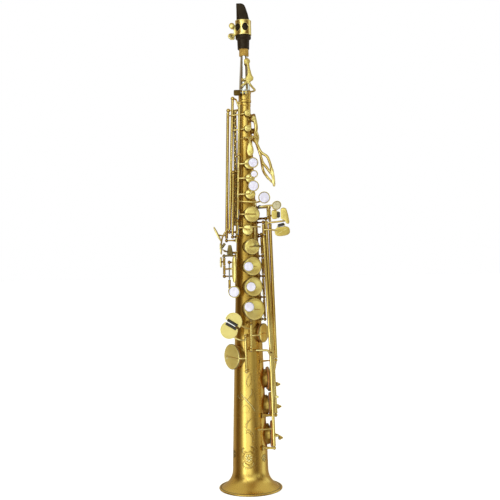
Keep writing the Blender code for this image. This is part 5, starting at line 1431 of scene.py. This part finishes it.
def build_room():
    """Studio tent: bright strip beside the camera, dark flanks, pale back, white where it is looked at."""
    world = bpy.data.worlds.new("studio")
    bpy.context.scene.world = world
    world.use_nodes = True
    tree = world.node_tree
    axes = add_node(tree, "ShaderNodeSeparateXYZ")
    tree.links.new(add_node(tree, "ShaderNodeTexCoord").outputs["Generated"], axes.inputs[0])
    x, y, z = axes.outputs
    azimuth = math_node(tree, "ARCTAN2", x, math_node(tree, "MULTIPLY", y, -1.0))
    lean = math_node(tree, "MULTIPLY", ranged(tree, z, 0.12, 0.30, 0.0, 0.4), ranged(tree, z, 0.36, 0.42, 1.0, 0.0))
    turn = ranged(tree, math_node(tree, "SUBTRACT", azimuth, lean), -math.pi, math.pi, 0.0, 1.0)
    keys_share = math_node(tree, "MULTIPLY", ranged(tree, z, -0.065, -0.04, 0.0, 1.0),
                           ranged(tree, z, 0.12, 0.15, 1.0, 0.0))
    level = blend_colours(tree, keys_share, flats(tree, turn, ROOM), flats(tree, turn, KEY_ROOM))
    level = blend_colours(tree, ranged(tree, z, 0.35, 0.65, 0.0, 1.0), level, flats(tree, turn, CEILING))
    level = blend_colours(tree, ranged(tree, z, -0.3, -0.7, 0.0, 1.0), level, (0.5 / BRIGHTEST,) * 3)
    room = tree.nodes["Background"]
    tree.links.new(level, room.inputs["Color"])
    room.inputs["Strength"].default_value = BRIGHTEST
    seen = add_node(tree, "ShaderNodeBackground", Strength=1.0)
    seen.inputs["Color"].default_value = (1, 1, 1, 1)
    choose = add_node(tree, "ShaderNodeMixShader")
    tree.links.new(add_node(tree, "ShaderNodeLightPath").outputs["Is Camera Ray"], choose.inputs[0])
    tree.links.new(room.outputs[0], choose.inputs[1])
    tree.links.new(seen.outputs[0], choose.inputs[2])
    tree.links.new(choose.outputs[0], tree.nodes["World Output"].inputs["Surface"])


def build_floor():
    """Pale paper floor, out of sight of the polished brass."""
    mesh = bpy.data.meshes.new("studio_floor")
    mesh.from_pydata([(-6, -5, 0), (6, -5, 0), (6, 9, 0), (-6, 9, 0)], [], [(0, 1, 2, 3)])
    mat, tree, shader = node_tree("pale_paper")
    tree.links.new(ramp(tree, noise(tree, 3.0), (0.93, 0.93, 0.92), (0.96, 0.96, 0.95)), shader.inputs["Base Color"])
    shader.inputs["Roughness"].default_value = 0.9
    shader.inputs["Specular IOR Level"].default_value = 0.0
    shader.inputs["Emission Color"].default_value = (1, 1, 1, 1)
    shader.inputs["Emission Strength"].default_value = 0.62
    mesh.materials.append(mat)
    item = bpy.data.objects.new("studio_floor", mesh)
    bpy.context.scene.collection.objects.link(item)
    item.visible_glossy = False


def build_camera():
    scene = bpy.context.scene
    cam = bpy.data.objects.new("camera", bpy.data.cameras.new("camera"))
    cam.data.lens, cam.data.sensor_width = 61.18, 36.0
    cam.data.clip_start, cam.data.clip_end = 0.05, 30.0
    roll = 0.01623
    cam.matrix_world = Matrix(((math.cos(roll), math.sin(roll), 0, -0.0018), (0, 0, -1, -1.221),
                               (-math.sin(roll), math.cos(roll), 0, 0.342), (0, 0, 0, 1)))
    scene.collection.objects.link(cam)
    scene.camera = cam
    scene.view_settings.view_transform = "Standard"


def softbox(name, at, size, power, aim):
    """Soft light for pearls, cork and ebonite; the brass mirrors the room instead."""
    data = bpy.data.lights.new(name, "AREA")
    data.shape, data.size, data.size_y, data.energy = "RECTANGLE", size[0], size[1], power
    item = bpy.data.objects.new(name, data)
    bpy.context.scene.collection.objects.link(item)
    start, end = ROOT @ Vector(at), ROOT @ Vector(aim)
    item.matrix_world = Matrix.Translation(start) @ (end - start).to_track_quat("-Z", "Y").to_matrix().to_4x4()
    item.visible_glossy = False


build_room()
build_floor()
build_camera()
softbox("front_box", (-500, -1500, 700), (1.2, 1.6), 11, (0, 0, 330))
build_body()
build_bell()
build_engraving()
build_neck()
build_mouthpiece()
build_ligature()
build_ribs()
build_palm_keys()
build_upper_stack()
build_g_sharp()
build_side_keys()
build_lower_stack()
build_pinky_keys()
build_low_keys()
build_guard()
long_rod("looks_low_b_flat_rod", (23.9, -19.0, 360.0), (30.9, -19.6, 201.0), 2.1)
build_back()
